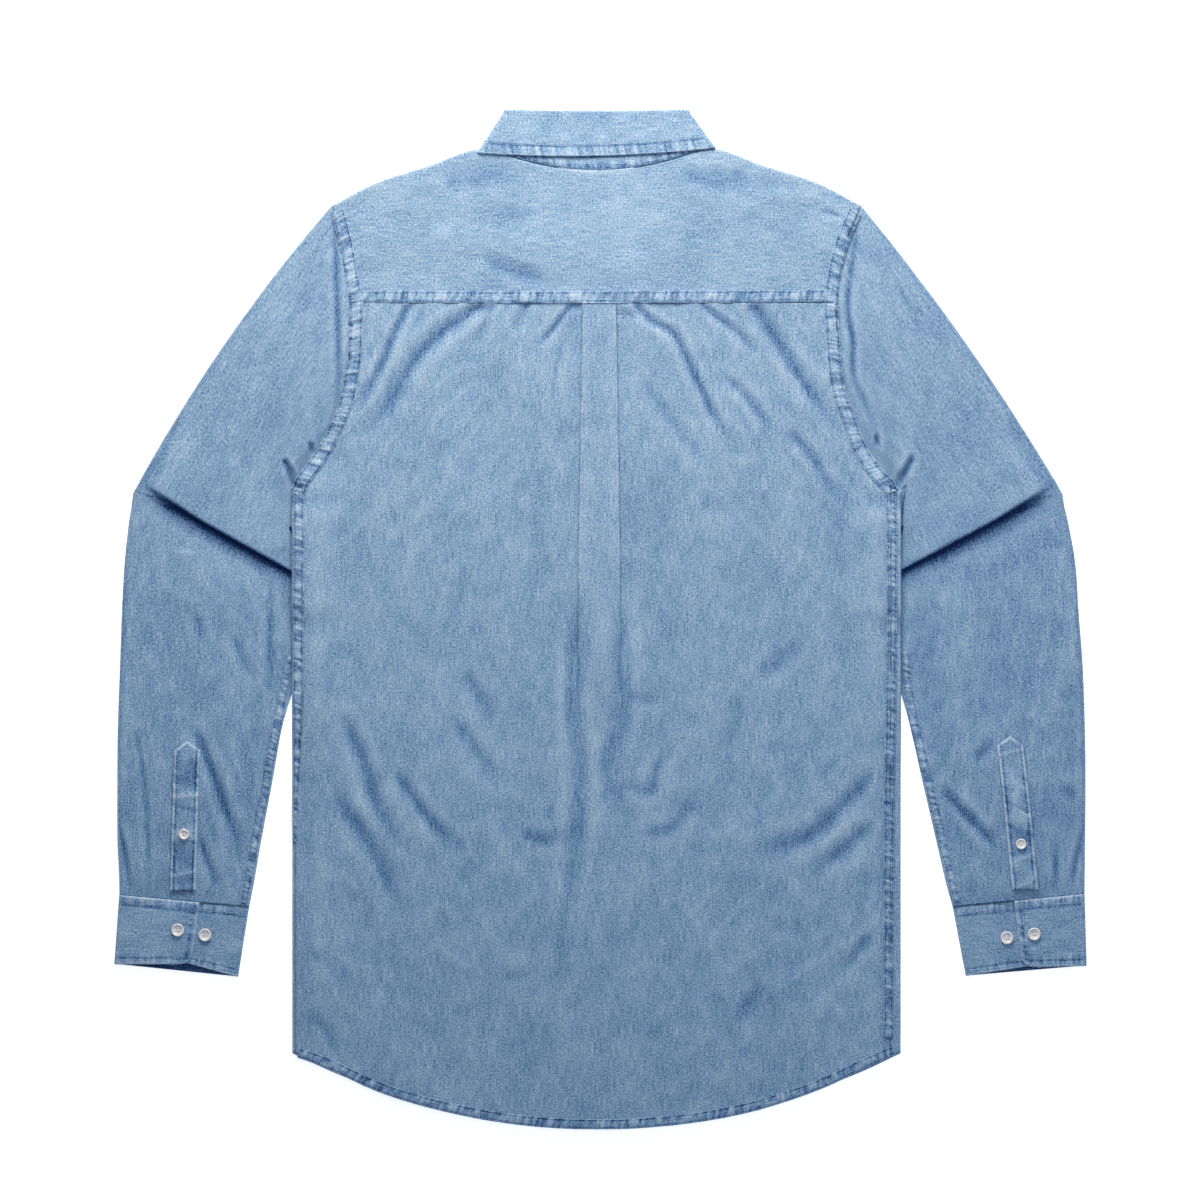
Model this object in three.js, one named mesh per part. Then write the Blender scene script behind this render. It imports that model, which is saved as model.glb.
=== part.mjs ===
// A long-sleeved denim shirt, buttoned up and laid flat on its front, seen from its back.
// Millimetres. +X is the photograph's right, +Y points to the collar, +Z away from the table.
// The origin is under the middle of the shirt, on the table. The wearer's left is at -X.
import * as THREE from 'three';

// Walls, and the spaces between walls
const CLOTH = 1.0;          // a single panel
const BAND = 1.6;           // interlined cuffs and collar
const STAND = 1.2;          // collar stand
const SEAM = 0.4;           // space between two pieces that are sewn together
const LAP = 0.4;            // space between two walls that lie on each other

// Driving sizes of the shirt
const HALF_LENGTH = 446;    // half of the way from collar fold to hem
const CENTRE = -3.5;        // centre back of the body
const EDGE_LEFT = 269.9;    // side folds of the body, each measured from the origin
const EDGE_RIGHT = 262.9;
const SEAM_INSET = 9.3;     // the side seam lies on the back, this far in from the side fold
const HEM_RISE = 66;        // how much the shirt tail is shorter at the sides
const FRONT_SHORTER = 22;   // the front tail is this much shorter than the back tail
const UNDERARM = 113;       // height where the side seam ends at the armhole
const YOKE_SEAM = 276.6;    // height of the straight seam across the back
const NECK_HALF = 88;       // half width of the neck
const NECK_DROP = 17;       // curve of the neck seam at the back
const BACK_NECK = 409;      // height of the neck seam at the shoulder
const FRONT_NECK = 345;     // lowest point of the neck seam at the front
const STAND_TOP = 441.6;    // upper edge of the collar stand
const PLACKET_HALF = 16;    // half width of the front overlap

// Heights of the middle of each wall over the table
const FLOOR = CLOTH / 2;
const BACK_REST = 3.5;      // back panel over flat ground
const NECK_LIFT = 1.9;      // fronts ride on the collar points
const STAND_FRONT_Z = 2.6;
const STAND_BACK_Z = 4.3;
const FALL_FRONT_Z = BAND / 2;
const FALL_BACK_Z = 6.2;

// Armhole seam, from the shoulder to the side seam. Both sides measured from the origin.
const ARMHOLE = [
  { y: 362.2, left: 234.9, right: 227.8 },
  { y: 337.8, left: 228.8, right: 218.5 },
  { y: 312.4, left: 223.6, right: 211.2 },
  { y: 291.4, left: 220.1, right: 207.3 },
  { y: 277.0, left: 217.4, right: 206.1 },
  { y: 241.5, left: 218.3, right: 207.8 },
  { y: 214.4, left: 220.9, right: 210.4 },
  { y: 188.0, left: 226.2, right: 216.4 },
  { y: 164.5, left: 235.8, right: 225.1 },
  { y: 148.8, left: 244.6, right: 232.8 },
  { y: 127.0, left: 257.7, right: 247.8 },
  { y: UNDERARM, left: EDGE_LEFT - SEAM_INSET, right: EDGE_RIGHT - SEAM_INSET },
];

// Shoulder fold: height over the distance from the centre back
const SHOULDER = [
  { out: 60, y: 411.5 },
  { out: NECK_HALF, y: BACK_NECK },
  { out: 145, y: 397.2 },
  { out: 198, y: 379.8 },
  { out: 231, y: 362.2 },
];

// Outer and inner edge of each sleeve from elbow to cuff, one row for each ring.
// top: height of the upper layer, puff: what its middle adds.
const FOREARM = {
  left: [
    { outX: 410.5, outY: 100.0, inX: 266.0, inY: 22.0, top: 2.6, puff: 0.4 },
    { outX: 413.6, outY: 80.0, inX: 263.0, inY: 4.0, top: 2.6, puff: 1.6 },
    { outX: 416.9, outY: 47.2, inX: 262.0, inY: -20.0, top: 2.6, puff: 2.6 },
    { outX: 419.2, outY: 5.0, inX: 263.0, inY: -44.0, top: 2.6, puff: 2.8 },
    { outX: 420.8, outY: -42.0, inX: 270.5, inY: -66.0, top: 2.8, puff: 3.0 },
    { outX: 422.6, outY: -92.0, inX: 279.0, inY: -96.0, top: 3.2, puff: 3.2 },
    { outX: 423.1, outY: -140.0, inX: 287.2, inY: -142.0, top: 3.6, puff: 3.4 },
    { outX: 423.0, outY: -192.0, inX: 297.0, inY: -194.0, top: 4.0, puff: 2.6 },
    { outX: 421.6, outY: -222.0, inX: 303.0, inY: -229.0, top: 4.2, puff: 1.8 },
    { outX: 421.2, outY: -241.8, inX: 307.6, inY: -252.2, top: 4.2, puff: 0.2 },
  ],
  right: [
    { outX: 406.0, outY: 100.0, inX: 259.5, inY: 24.0, top: 2.6, puff: 0.4 },
    { outX: 410.6, outY: 80.0, inX: 256.5, inY: 6.0, top: 2.6, puff: 1.6 },
    { outX: 416.1, outY: 47.2, inX: 255.0, inY: -18.0, top: 2.6, puff: 2.6 },
    { outX: 418.9, outY: 5.0, inX: 256.0, inY: -44.0, top: 2.6, puff: 2.8 },
    { outX: 422.4, outY: -42.0, inX: 263.5, inY: -66.0, top: 2.8, puff: 3.0 },
    { outX: 424.2, outY: -92.0, inX: 271.6, inY: -96.0, top: 3.2, puff: 3.2 },
    { outX: 424.8, outY: -140.0, inX: 281.9, inY: -142.0, top: 3.6, puff: 3.4 },
    { outX: 424.4, outY: -192.0, inX: 294.0, inY: -194.0, top: 4.0, puff: 2.6 },
    { outX: 424.1, outY: -222.0, inX: 302.0, inY: -229.0, top: 4.2, puff: 1.8 },
    { outX: 423.9, outY: -240.9, inX: 308.4, inY: -252.2, top: 4.2, puff: 0.2 },
  ],
};

// Line of the elbow crease, where the upper sleeve laps over the forearm, and the outer bulge above it
const ELBOW = {
  left: { outX: 405.6, outY: 117.2, inX: 262.0, inY: 37.0, bulge: 8 },
  right: { outX: 401.2, outY: 116.0, inX: 255.5, inY: 38.5, bulge: 6 },
};
const ELBOW_HEIGHT = 9.2;   // rolled edge of the lap
const ELBOW_DEPTH = 34;     // how far the cloth goes back under the lap
const ELBOW_RETURN = 4.1;   // height of the layer that goes back
const ELBOW_UNDER = 2.0;    // height of the layer that comes out again

// Corners of each cuff, and where its upper end stops, as a share of its width from the outer edge
const CUFF = {
  left: { outX: 421.4, outY: -242.4, inX: 307.6, inY: -252.9, endOutX: 425.7, endOutY: -302.0,
    endInX: 317.2, endInY: -313.2, lap: 0.62 },
  right: { outX: 423.9, outY: -241.5, inX: 308.4, inY: -252.9, endOutX: 425.7, endOutY: -303.4,
    endInX: 319.8, endInY: -312.4, lap: 0.535 },
};
const CUFF_UNDERLAP = 0.2;  // share of the width that is hidden under the upper end
const CUFF_CORNER = 10;     // rounded corner of the upper end

// Sleeve plackets: line of the middle from tip to cuff
const PLACKET = {
  left: { tipX: 361.2, tipY: -106.8, endX: 365.2, endY: -238.0, width: 22.5 },
  right: { tipX: 358.0, tipY: -102.4, endX: 371.4, endY: -237.0, width: 23.0 },
};
const PLACKET_POINT = 8;

// Buttons: diameter and thickness, and where the visible ones lie
const BUTTON = { wide: 11.4, small: 9.4, thick: 2.2 };
const CUFF_BUTTONS = {
  left: [{ x: 369.7, y: -272.1 }, { x: 346.1, y: -276.5 }],
  right: [{ x: 379.3, y: -275.6 }, { x: 355.7, y: -279.1 }],
};
const PLACKET_BUTTON = { left: 0.62, right: 0.7 };
const FRONT_BUTTONS = 7;
const FRONT_BUTTON_TOP = 305;
const FRONT_BUTTON_PITCH = 92;

// Folds: each runs from (x0, y0) to (x1, y1), bowed sideways. deep is positive for a trough.
const BACK_FOLDS = [
  { x0: -106, y0: 275, x1: -222, y1: 152, bow: -8, wide: 15, deep: 1.7 },
  { x0: -84, y0: 262, x1: -196, y1: 128, bow: -10, wide: 14, deep: -3.4 },
  { x0: -168, y0: 273, x1: -214, y1: 178, bow: 0, wide: 11, deep: 1.5 },
  { x0: -146, y0: 270, x1: -200, y1: 196, bow: 0, wide: 12, deep: -2.6 },
  { x0: -81, y0: 274, x1: -109, y1: 236, bow: 0, wide: 9, deep: 1.2 },
  { x0: -26, y0: 274, x1: -62, y1: 228, bow: 3, wide: 9, deep: 1.4 },
  { x0: -44, y0: 270, x1: -74, y1: 206, bow: 3, wide: 11, deep: -2.2 },
  { x0: 30, y0: 275, x1: 132, y1: 130, bow: 9, wide: 12, deep: 1.6 },
  { x0: 52, y0: 268, x1: 150, y1: 150, bow: 8, wide: 13, deep: -2.6 },
  { x0: 89, y0: 274, x1: 142, y1: 226, bow: 4, wide: 9, deep: 1.4 },
  { x0: 110, y0: 268, x1: 190, y1: 172, bow: 4, wide: 12, deep: -3.0 },
  { x0: 131, y0: 271, x1: 214, y1: 154, bow: 2, wide: 14, deep: 1.7 },
  { x0: 152, y0: 266, x1: 204, y1: 182, bow: 0, wide: 12, deep: -2.8 },
  { x0: 99, y0: 220, x1: 160, y1: 150, bow: 0, wide: 11, deep: 1.5 },
  { x0: 160, y0: 170, x1: 204, y1: 112, bow: 0, wide: 11, deep: 1.5 },
  { x0: 35, y0: 228, x1: 96, y1: 128, bow: 4, wide: 12, deep: 1.3 },
  { x0: -232, y0: -80, x1: -158, y1: -204, bow: 8, wide: 12, deep: 1.6 },
  { x0: -214, y0: -76, x1: -140, y1: -190, bow: 8, wide: 13, deep: -2.8 },
  { x0: -181, y0: -125, x1: -119, y1: -208, bow: 6, wide: 12, deep: 1.6 },
  { x0: -124, y0: -34, x1: -92, y1: -88, bow: 0, wide: 12, deep: 1.3 },
  { x0: -238, y0: -156, x1: -165, y1: -278, bow: 6, wide: 16, deep: 1.4 },
  { x0: -222, y0: -150, x1: -150, y1: -262, bow: 6, wide: 15, deep: -2.2 },
  { x0: 231, y0: -150, x1: 112, y1: -206, bow: -22, wide: 12, deep: 1.7 },
  { x0: 236, y0: -132, x1: 108, y1: -186, bow: -24, wide: 13, deep: -2.8 },
  { x0: 240, y0: -167, x1: 152, y1: -246, bow: -12, wide: 12, deep: 1.6 },
  { x0: 240, y0: -273, x1: 204, y1: -314, bow: 0, wide: 11, deep: 1.4 },
  { x0: 140, y0: -318, x1: 112, y1: -354, bow: 0, wide: 12, deep: 1.3 },
  { x0: -20, y0: 60, x1: -34, y1: -354, bow: 5, wide: 13, deep: 1.6 },
  { x0: 15, y0: 40, x1: 18, y1: -218, bow: 6, wide: 13, deep: 1.5 },
  { x0: -2, y0: 40, x1: -4, y1: -360, bow: 0, wide: 14, deep: -3.2 },
  { x0: -46, y0: 20, x1: -58, y1: -330, bow: 4, wide: 16, deep: -2.0 },
];
const YOKE_FOLDS = [
  { x0: -100, y0: 318, x1: -40, y1: 294, bow: 3, wide: 12, deep: 1.3 },
  { x0: -84, y0: 330, x1: -30, y1: 306, bow: 3, wide: 12, deep: -1.8 },
  { x0: -116, y0: 360, x1: -46, y1: 356, bow: -2, wide: 12, deep: 1.0 },
  { x0: 64, y0: 388, x1: 118, y1: 386, bow: 2, wide: 10, deep: 1.0 },
];
const SLEEVE_FOLDS = {
  left: [
    { x0: -354, y0: -30, x1: -305, y1: -60, bow: -8, wide: 13, deep: 1.6 },
    { x0: -359, y0: -86, x1: -316, y1: -222, bow: 10, wide: 11, deep: 2.0 },
    { x0: -340, y0: -96, x1: -306, y1: -212, bow: 8, wide: 11, deep: -2.2 },
    { x0: -410, y0: -88, x1: -396, y1: -240, bow: 0, wide: 8, deep: 1.8 },
    { x0: -402, y0: -100, x1: -386, y1: -240, bow: 0, wide: 8, deep: -1.8 },
    { x0: -320, y0: 210, x1: -282, y1: 110, bow: 8, wide: 18, deep: 1.6 },
  ],
  right: [
    { x0: 297, y0: -147, x1: 350, y1: -207, bow: 0, wide: 11, deep: 2.0 },
    { x0: 312, y0: -134, x1: 350, y1: -186, bow: 0, wide: 12, deep: -2.0 },
    { x0: 326, y0: -124, x1: 345, y1: -102, bow: 0, wide: 10, deep: 1.4 },
    { x0: 399, y0: -190, x1: 398, y1: -240, bow: 0, wide: 8, deep: 1.6 },
    { x0: 424, y0: -176, x1: 412, y1: -234, bow: 0, wide: 8, deep: 1.4 },
    { x0: 318, y0: 210, x1: 282, y1: 112, bow: -8, wide: 18, deep: 1.6 },
  ],
};

// Box pleat under the yoke: the two folds spread a little downwards, then open out
const PLEAT = { topLeft: -15.5, topRight: 13.5, lowLeft: -20, lowRight: 18, open: 60, flat: -60, depth: 12, step: 1.45 };

const DENIM = new THREE.Color(0x86a8cc);
const PEARL = new THREE.Color(0xe9ebec);

const clamp = (x, low, high) => Math.min(Math.max(x, low), high);
const lerp = (a, b, t) => a + (b - a) * t;
const smooth = (low, high, x) => {
  const t = clamp((x - low) / (high - low), 0, 1);
  return t * t * (3 - 2 * t);
};

// Reads a column of a table at any value of its key column, on a smooth curve through the rows
function along(table, key, x, column) {
  const last = table.length - 1;
  const rising = table[last][key] > table[0][key];
  let k = 0;
  while (k < last - 1 && (rising ? x > table[k + 1][key] : x < table[k + 1][key])) k += 1;
  const a = table[k];
  const b = table[k + 1];
  const span = b[key] - a[key];
  const t = clamp((x - a[key]) / span, 0, 1);
  const slope = (m) => {
    const before = table[Math.max(m - 1, 0)];
    const after = table[Math.min(m + 1, last)];
    return (after[column] - before[column]) / (after[key] - before[key]);
  };
  const t2 = t * t;
  const t3 = t2 * t;
  return (2 * t3 - 3 * t2 + 1) * a[column] + (t3 - 2 * t2 + t) * span * slope(k)
    + (3 * t2 - 2 * t3) * b[column] + (t3 - t2) * span * slope(k + 1);
}

// What a list of folds adds to the height at (x, y)
function folded(folds, x, y) {
  let height = 0;
  for (const fold of folds) {
    const dx = fold.x1 - fold.x0;
    const dy = fold.y1 - fold.y0;
    const length = Math.hypot(dx, dy);
    const t = ((x - fold.x0) * dx + (y - fold.y0) * dy) / (length * length);
    if (t > -0.15 && t < 1.2) {
      const side = ((x - fold.x0) * dy - (y - fold.y0) * dx) / length - fold.bow * 4 * t * (1 - t);
      const fade = smooth(-0.15, 0.1, t) * (1 - smooth(0.6, 1.2, t));
      height -= fold.deep * fade * Math.exp(-((side / fold.wide) ** 2));
    }
  }
  return height;
}

// Sews a grid of points into one closed wall of even thickness. keep leaves cells out.
function wall(name, grid, { closed = false, thickness = CLOTH, keep = () => true, colour = DENIM } = {}) {
  const rows = grid.length;
  const cols = grid[0].length;
  const column = (j) => (closed ? (j + cols) % cols : clamp(j, 0, cols - 1));
  const at = (i, j) => grid[clamp(i, 0, rows - 1)][column(j)];
  const positions = [];
  const index = [];
  const known = new Map();
  const vertex = (i, j, side) => {
    const key = `${i} ${column(j)} ${side}`;
    if (!known.has(key)) {
      const across = at(i, j + 1).clone().sub(at(i, j - 1));
      const up = at(i + 1, j).clone().sub(at(i - 1, j));
      const normal = across.cross(up).normalize();
      const p = at(i, j).clone().addScaledVector(normal, side * thickness / 2);
      known.set(key, positions.length / 3);
      positions.push(p.x, p.y, p.z);
    }
    return known.get(key);
  };
  const lastCell = closed ? cols : cols - 1;
  const present = (i, j) => {
    if (i < 0 || i >= rows - 1) return false;
    if (!closed && (j < 0 || j >= lastCell)) return false;
    return keep(i, closed ? (j + cols) % cols : j);
  };
  for (let i = 0; i < rows - 1; i += 1) {
    for (let j = 0; j < lastCell; j += 1) {
      if (present(i, j)) {
        const corners = [[i, j], [i, j + 1], [i + 1, j + 1], [i + 1, j]];
        const [a, b, c, d] = corners.map((corner) => vertex(...corner, 1));
        const [e, f, g, h] = corners.map((corner) => vertex(...corner, -1));
        index.push(a, b, c, a, c, d, g, f, e, h, g, e);
        if (!present(i - 1, j)) index.push(b, a, e, b, e, f);
        if (!present(i, j + 1)) index.push(c, b, f, c, f, g);
        if (!present(i + 1, j)) index.push(d, c, g, d, g, h);
        if (!present(i, j - 1)) index.push(a, d, h, a, h, e);
      }
    }
  }
  const geometry = new THREE.BufferGeometry();
  geometry.setAttribute('position', new THREE.Float32BufferAttribute(positions, 3));
  geometry.setIndex(index);
  const mesh = new THREE.Mesh(geometry, new THREE.MeshStandardMaterial({ color: colour, roughness: 0.9, metalness: 0 }));
  mesh.name = name;
  return mesh;
}

const hemLine = (x) => -HALF_LENGTH + HEM_RISE * ((x - CENTRE) / (EDGE_LEFT + CENTRE)) ** 2;

// Where a sleeve lies under the side fold, the body is lifted over it
function sideLift(x, y) {
  const edge = x < 0 ? EDGE_LEFT : EDGE_RIGHT;
  const near = smooth(edge - 34, edge - 14, Math.abs(x));
  const single = smooth(-80, -64, y) * (1 - smooth(124, 142, y));
  const creased = smooth(-6, 14, y) * (1 - smooth(88, 108, y));
  return near * (4.6 * single + 2 * creased);
}

// The fronts are lifted a little where the collar points lie under them, and along the buttons
function frontLift(x, y) {
  const out = Math.abs(x - CENTRE);
  const neck = NECK_LIFT * smooth(262, 296, y) * (1 - smooth(112, 142, out));
  const buttons = (BUTTON.thick + LAP) * (1 - smooth(PLACKET_HALF + 2, PLACKET_HALF + 22, out));
  return Math.max(neck, buttons);
}

// Lowest height at which a panel clears the fronts, which lie double along the buttons
function clearOfFronts(x, y) {
  const double = (CLOTH + LAP) * (1 - smooth(PLACKET_HALF + 4, PLACKET_HALF + 30, Math.abs(x - CENTRE)));
  return FLOOR + frontLift(x, y) + double + CLOTH + LAP + 0.2;
}

function backHeight(x, y) {
  const out = Math.abs(x - CENTRE);
  const rest = BACK_REST + 0.8 * smooth(262, 180, out) + BUTTON.thick * (1 - smooth(20, 60, out));
  return Math.max(rest + folded(BACK_FOLDS, x, y), clearOfFronts(x, y)) + 1.06 * sideLift(x, y);
}


// The armhole is straight between its rows, so that the pieces on both sides of it meet exactly
function armholeAt(y, word) {
  let k = 0;
  while (k < ARMHOLE.length - 2 && y < ARMHOLE[k + 1].y) k += 1;
  const t = clamp((y - ARMHOLE[k].y) / (ARMHOLE[k + 1].y - ARMHOLE[k].y), 0, 1);
  return lerp(ARMHOLE[k][word], ARMHOLE[k + 1][word], t);
}
const sideOf = (y, side) => side * armholeAt(y, side < 0 ? 'left' : 'right');
const armholeRows = (low, high) => ARMHOLE.map((row) => row.y).filter((y) => y > low && y < high).sort((a, b) => a - b);

// One half of the box pleat, from the panel to the top of the box. Folded and open are places
// measured from the visible fold towards the centre, level counts layers.
const PLEAT_PATH = [
  { folded: PLEAT.depth - 0.7, open: -7, level: 0 },
  { folded: PLEAT.depth, open: -5, level: 0.5 },
  { folded: PLEAT.depth - 0.7, open: -3, level: 1 },
  { folded: 0.7, open: -1, level: 1 },
  { folded: 0, open: 1, level: 1.5 },
  { folded: 0.7, open: 3, level: 2 },
];

function backPanel() {
  const plain = 13;
  const lower = [0, 0.07, 0.14, 0.21, 0.28, 0.36, 0.44, 0.52, 0.6, 0.645, 0.7, 0.76, 0.81, 0.88, 0.95, 1];
  const seams = [...armholeRows(UNDERARM, YOKE_SEAM - 10), 228, 253, 262, 270, YOKE_SEAM - SEAM].sort((a, b) => a - b);
  const heights = [...lower.map((t) => ({ t, low: true })), ...seams.map((edge) => ({ edge, low: false }))];
  const grid = heights.map(({ t, edge, low }) => {
    const edgeY = low ? UNDERARM : edge;
    const left = sideOf(edgeY, -1);
    const right = sideOf(edgeY, 1);
    const yAt = (x) => (low ? lerp(hemLine(x), UNDERARM, t) : edgeY);
    const middleY = yAt(CENTRE);
    const down = clamp((YOKE_SEAM - middleY) / YOKE_SEAM, 0, 1);
    const foldLeft = lerp(PLEAT.topLeft, PLEAT.lowLeft, down);
    const foldRight = lerp(PLEAT.topRight, PLEAT.lowRight, down);
    const folding = smooth(PLEAT.flat, PLEAT.open, middleY);
    const raised = smooth(PLEAT.flat - 50, PLEAT.flat + 20, middleY) * PLEAT.step;
    const points = [];
    const add = (x, extra) => {
      const y = yAt(x);
      points.push(new THREE.Vector3(x, y, backHeight(x, y) + extra));
    };
    for (let k = 0; k <= plain; k += 1) add(lerp(left, foldLeft - 10, k / plain), 0);
    for (const p of PLEAT_PATH) add(foldLeft + lerp(p.open, p.folded, folding), p.level * raised);
    for (const share of [0.36, 0.64]) add(lerp(foldLeft, foldRight, share), 2 * raised);
    for (const p of [...PLEAT_PATH].reverse()) add(foldRight - lerp(p.open, p.folded, folding), p.level * raised);
    for (let k = plain; k >= 0; k -= 1) add(lerp(right, foldRight + 10, k / plain), 0);
    return points;
  });
  return wall('back_panel', grid);
}

// Neck seam of the fronts, and the seam of yoke and fronts
const frontNeck = (out) => FRONT_NECK + (BACK_NECK - FRONT_NECK - 2) * (out / NECK_HALF) ** 2.2;
const NECK_CORNER = 52;     // distance from the centre where that seam meets the neck
const FRONT_SEAM_END = 317; // where that seam meets the armhole
const frontSeam = (out) => lerp(363, FRONT_SEAM_END, (out - NECK_CORNER) / 174);
const topOfFront = (out) => (out < NECK_CORNER ? frontNeck(out) : frontSeam(out)) - SEAM;

// A front: flat on the table, and at the side rolled over onto the back up to the side seam
function front(name, side) {
  const edge = side < 0 ? EDGE_LEFT : EDGE_RIGHT;
  const over = side < 0 ? PLACKET_HALF : -PLACKET_HALF;
  // The left front lies over the right one, so it is the lower of the two here
  const overlap = side < 0 ? 0 : CLOTH + LAP;
  const lower = [0, 0.18, 0.36, 0.54, 0.61, 0.645, 0.7, 0.76, 0.8, 0.87, 0.95, 1];
  const seams = [...armholeRows(UNDERARM, FRONT_SEAM_END), FRONT_SEAM_END];
  const heights = [
    ...lower.map((t) => ({ t, low: true })),
    ...seams.map((y) => ({ t: (y - UNDERARM) / (FRONT_SEAM_END - UNDERARM), low: false })),
  ];
  const shares = [0, 0.3, 0.6, 0.84, 0.93, 1];
  const flat = shares.length + 1;
  const roll = [0, 45, 90, 135, 180];
  const grid = heights.map(({ t, low }) => {
    const sideY = low ? UNDERARM : lerp(UNDERARM, FRONT_SEAM_END, t);
    const limit = low ? edge - 3 : Math.min(edge - 3, Math.abs(sideOf(sideY, side)));
    const points = [];
    const yAt = (x) => {
      const out = Math.abs(x - CENTRE);
      if (low) return lerp(hemLine(x) + FRONT_SHORTER * (1 - smooth(170, 258, out)), UNDERARM, t);
      return lerp(UNDERARM, topOfFront(out), t);
    };
    const beside = CENTRE + side * (PLACKET_HALF + 28);
    const places = [CENTRE + over, CENTRE + side * (PLACKET_HALF + 3), ...shares.map((share) => lerp(beside, side * limit, share))];
    for (const x of places) {
      const y = yAt(x);
      const under = overlap * (1 - smooth(PLACKET_HALF + 4, PLACKET_HALF + 28, Math.abs(x - CENTRE)));
      points.push(new THREE.Vector3(x, y, FLOOR + frontLift(x, y) + sideLift(x, y) + under));
    }
    for (const angle of roll) {
      const turn = (angle * Math.PI) / 180;
      const radius = (BACK_REST - FLOOR) / 2;
      const x = side * (edge - CLOTH / 2 - radius + radius * Math.sin(turn));
      const y = yAt(x);
      points.push(new THREE.Vector3(x, y, FLOOR + radius * (1 - Math.cos(turn)) + sideLift(x, y)));
    }
    const x = side * (edge - SEAM_INSET + SEAM);
    points.push(new THREE.Vector3(x, yAt(x), BACK_REST + sideLift(x, yAt(x))));
    return points;
  });
  const lastLow = lower.length - 1;
  return wall(name, grid, { keep: (i, j) => j < flat || i < lastLow });
}

// Yoke: over the back, over each shoulder fold and down to its seam with the fronts
function yoke() {
  const sideColumns = 8;
  const neckColumns = 8;
  const backSeams = [YOKE_SEAM + SEAM / 2, 284, ...armholeRows(YOKE_SEAM + 1, 350), 325, 350, ARMHOLE[0].y].sort((a, b) => a - b);
  const backRows = backSeams.map((y) => (y - backSeams[0]) / (ARMHOLE[0].y - backSeams[0]));
  const roll = [45, 90, 135, 180];
  const frontRows = [0.35, 0.7, 1];
  const columns = [];
  for (let k = 0; k <= sideColumns; k += 1) columns.push({ part: -1, share: k / sideColumns });
  for (let k = 1; k < neckColumns; k += 1) columns.push({ part: 0, share: k / neckColumns });
  for (let k = sideColumns; k >= 0; k -= 1) columns.push({ part: 1, share: k / sideColumns });
  const radiusAt = (out) => (lerp(4.3, BACK_REST + 0.3, smooth(NECK_HALF, 230, out)) - FLOOR) / 2;
  const crest = (out) => along(SHOULDER, 'out', out, 'y');
  const neckSeam = (out) => BACK_NECK - NECK_DROP * (1 - (out / NECK_HALF) ** 2);
  const place = (column, edgeLeft, edgeRight, neck) => {
    if (column.part < 0) return lerp(edgeLeft, CENTRE - neck, column.share);
    if (column.part > 0) return lerp(edgeRight, CENTRE + neck, column.share);
    return lerp(CENTRE - neck, CENTRE + neck, column.share);
  };
  const grid = [];
  const top = ARMHOLE[0].y;
  for (const t of backRows) {
    const edgeY = lerp(YOKE_SEAM + SEAM / 2, top, t);
    grid.push(columns.map((column) => {
      const x = place(column, sideOf(edgeY, -1), sideOf(edgeY, 1), NECK_HALF);
      const out = Math.abs(x - CENTRE);
      const limit = out < NECK_HALF ? neckSeam(out) : crest(out) - radiusAt(out) - CLOTH / 2;
      const y = lerp(YOKE_SEAM + SEAM / 2, limit, t);
      const level = FLOOR + 2 * radiusAt(out);
      const pleat = 2.2 * (1 - smooth(22, 60, Math.abs(x - CENTRE))) * (1 - smooth(280, 330, y));
      return new THREE.Vector3(x, y, Math.max(level + folded(YOKE_FOLDS, x, y) + pleat, clearOfFronts(x, y)));
    }));
  }
  for (const angle of roll) {
    const turn = (angle * Math.PI) / 180;
    grid.push(columns.map((column) => {
      const x = place(column, sideOf(top, -1), sideOf(top, 1), NECK_HALF);
      const out = Math.abs(x - CENTRE);
      const radius = radiusAt(out);
      const lift = frontLift(x, crest(out)) * (angle / 180);
      const y = crest(out) - radius - CLOTH / 2 + radius * Math.sin(turn);
      return new THREE.Vector3(x, y, FLOOR + radius * (1 + Math.cos(turn)) + lift);
    }));
  }
  for (const t of frontRows) {
    const edgeY = lerp(top, FRONT_SEAM_END, t);
    const neck = NECK_HALF * ((lerp(BACK_NECK - 2, frontNeck(NECK_CORNER), t) - FRONT_NECK) / (BACK_NECK - FRONT_NECK - 2)) ** (1 / 2.2);
    grid.push(columns.map((column) => {
      const x = place(column, sideOf(edgeY, -1), sideOf(edgeY, 1), neck);
      const out = Math.abs(x - CENTRE);
      const first = place(column, sideOf(top, -1), sideOf(top, 1), NECK_HALF);
      const y = lerp(crest(Math.abs(first - CENTRE)) - radiusAt(out) - CLOTH / 2, frontSeam(out), t);
      return new THREE.Vector3(x, y, FLOOR + frontLift(x, y));
    }));
  }
  const neckStart = sideColumns;
  const neckEnd = sideColumns + neckColumns;
  const keep = (i, j) => i < backRows.length - 1 || j < neckStart || j >= neckEnd;
  return wall('back_yoke', grid, { keep });
}

// Sleeve: rings from the armhole over the elbow crease to the cuff
const RING_TOP = 10;
const RING_LOW = 3;
// Columns of a ring are where the armhole's rows are, so that its first ring follows the armhole
const RING_SHARES = [0, 0.1, 0.2, 0.3, 0.355, 0.5, 0.61, 0.72, 0.82, 0.885, 1];
const ROLL = [45, 0, -45];

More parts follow.
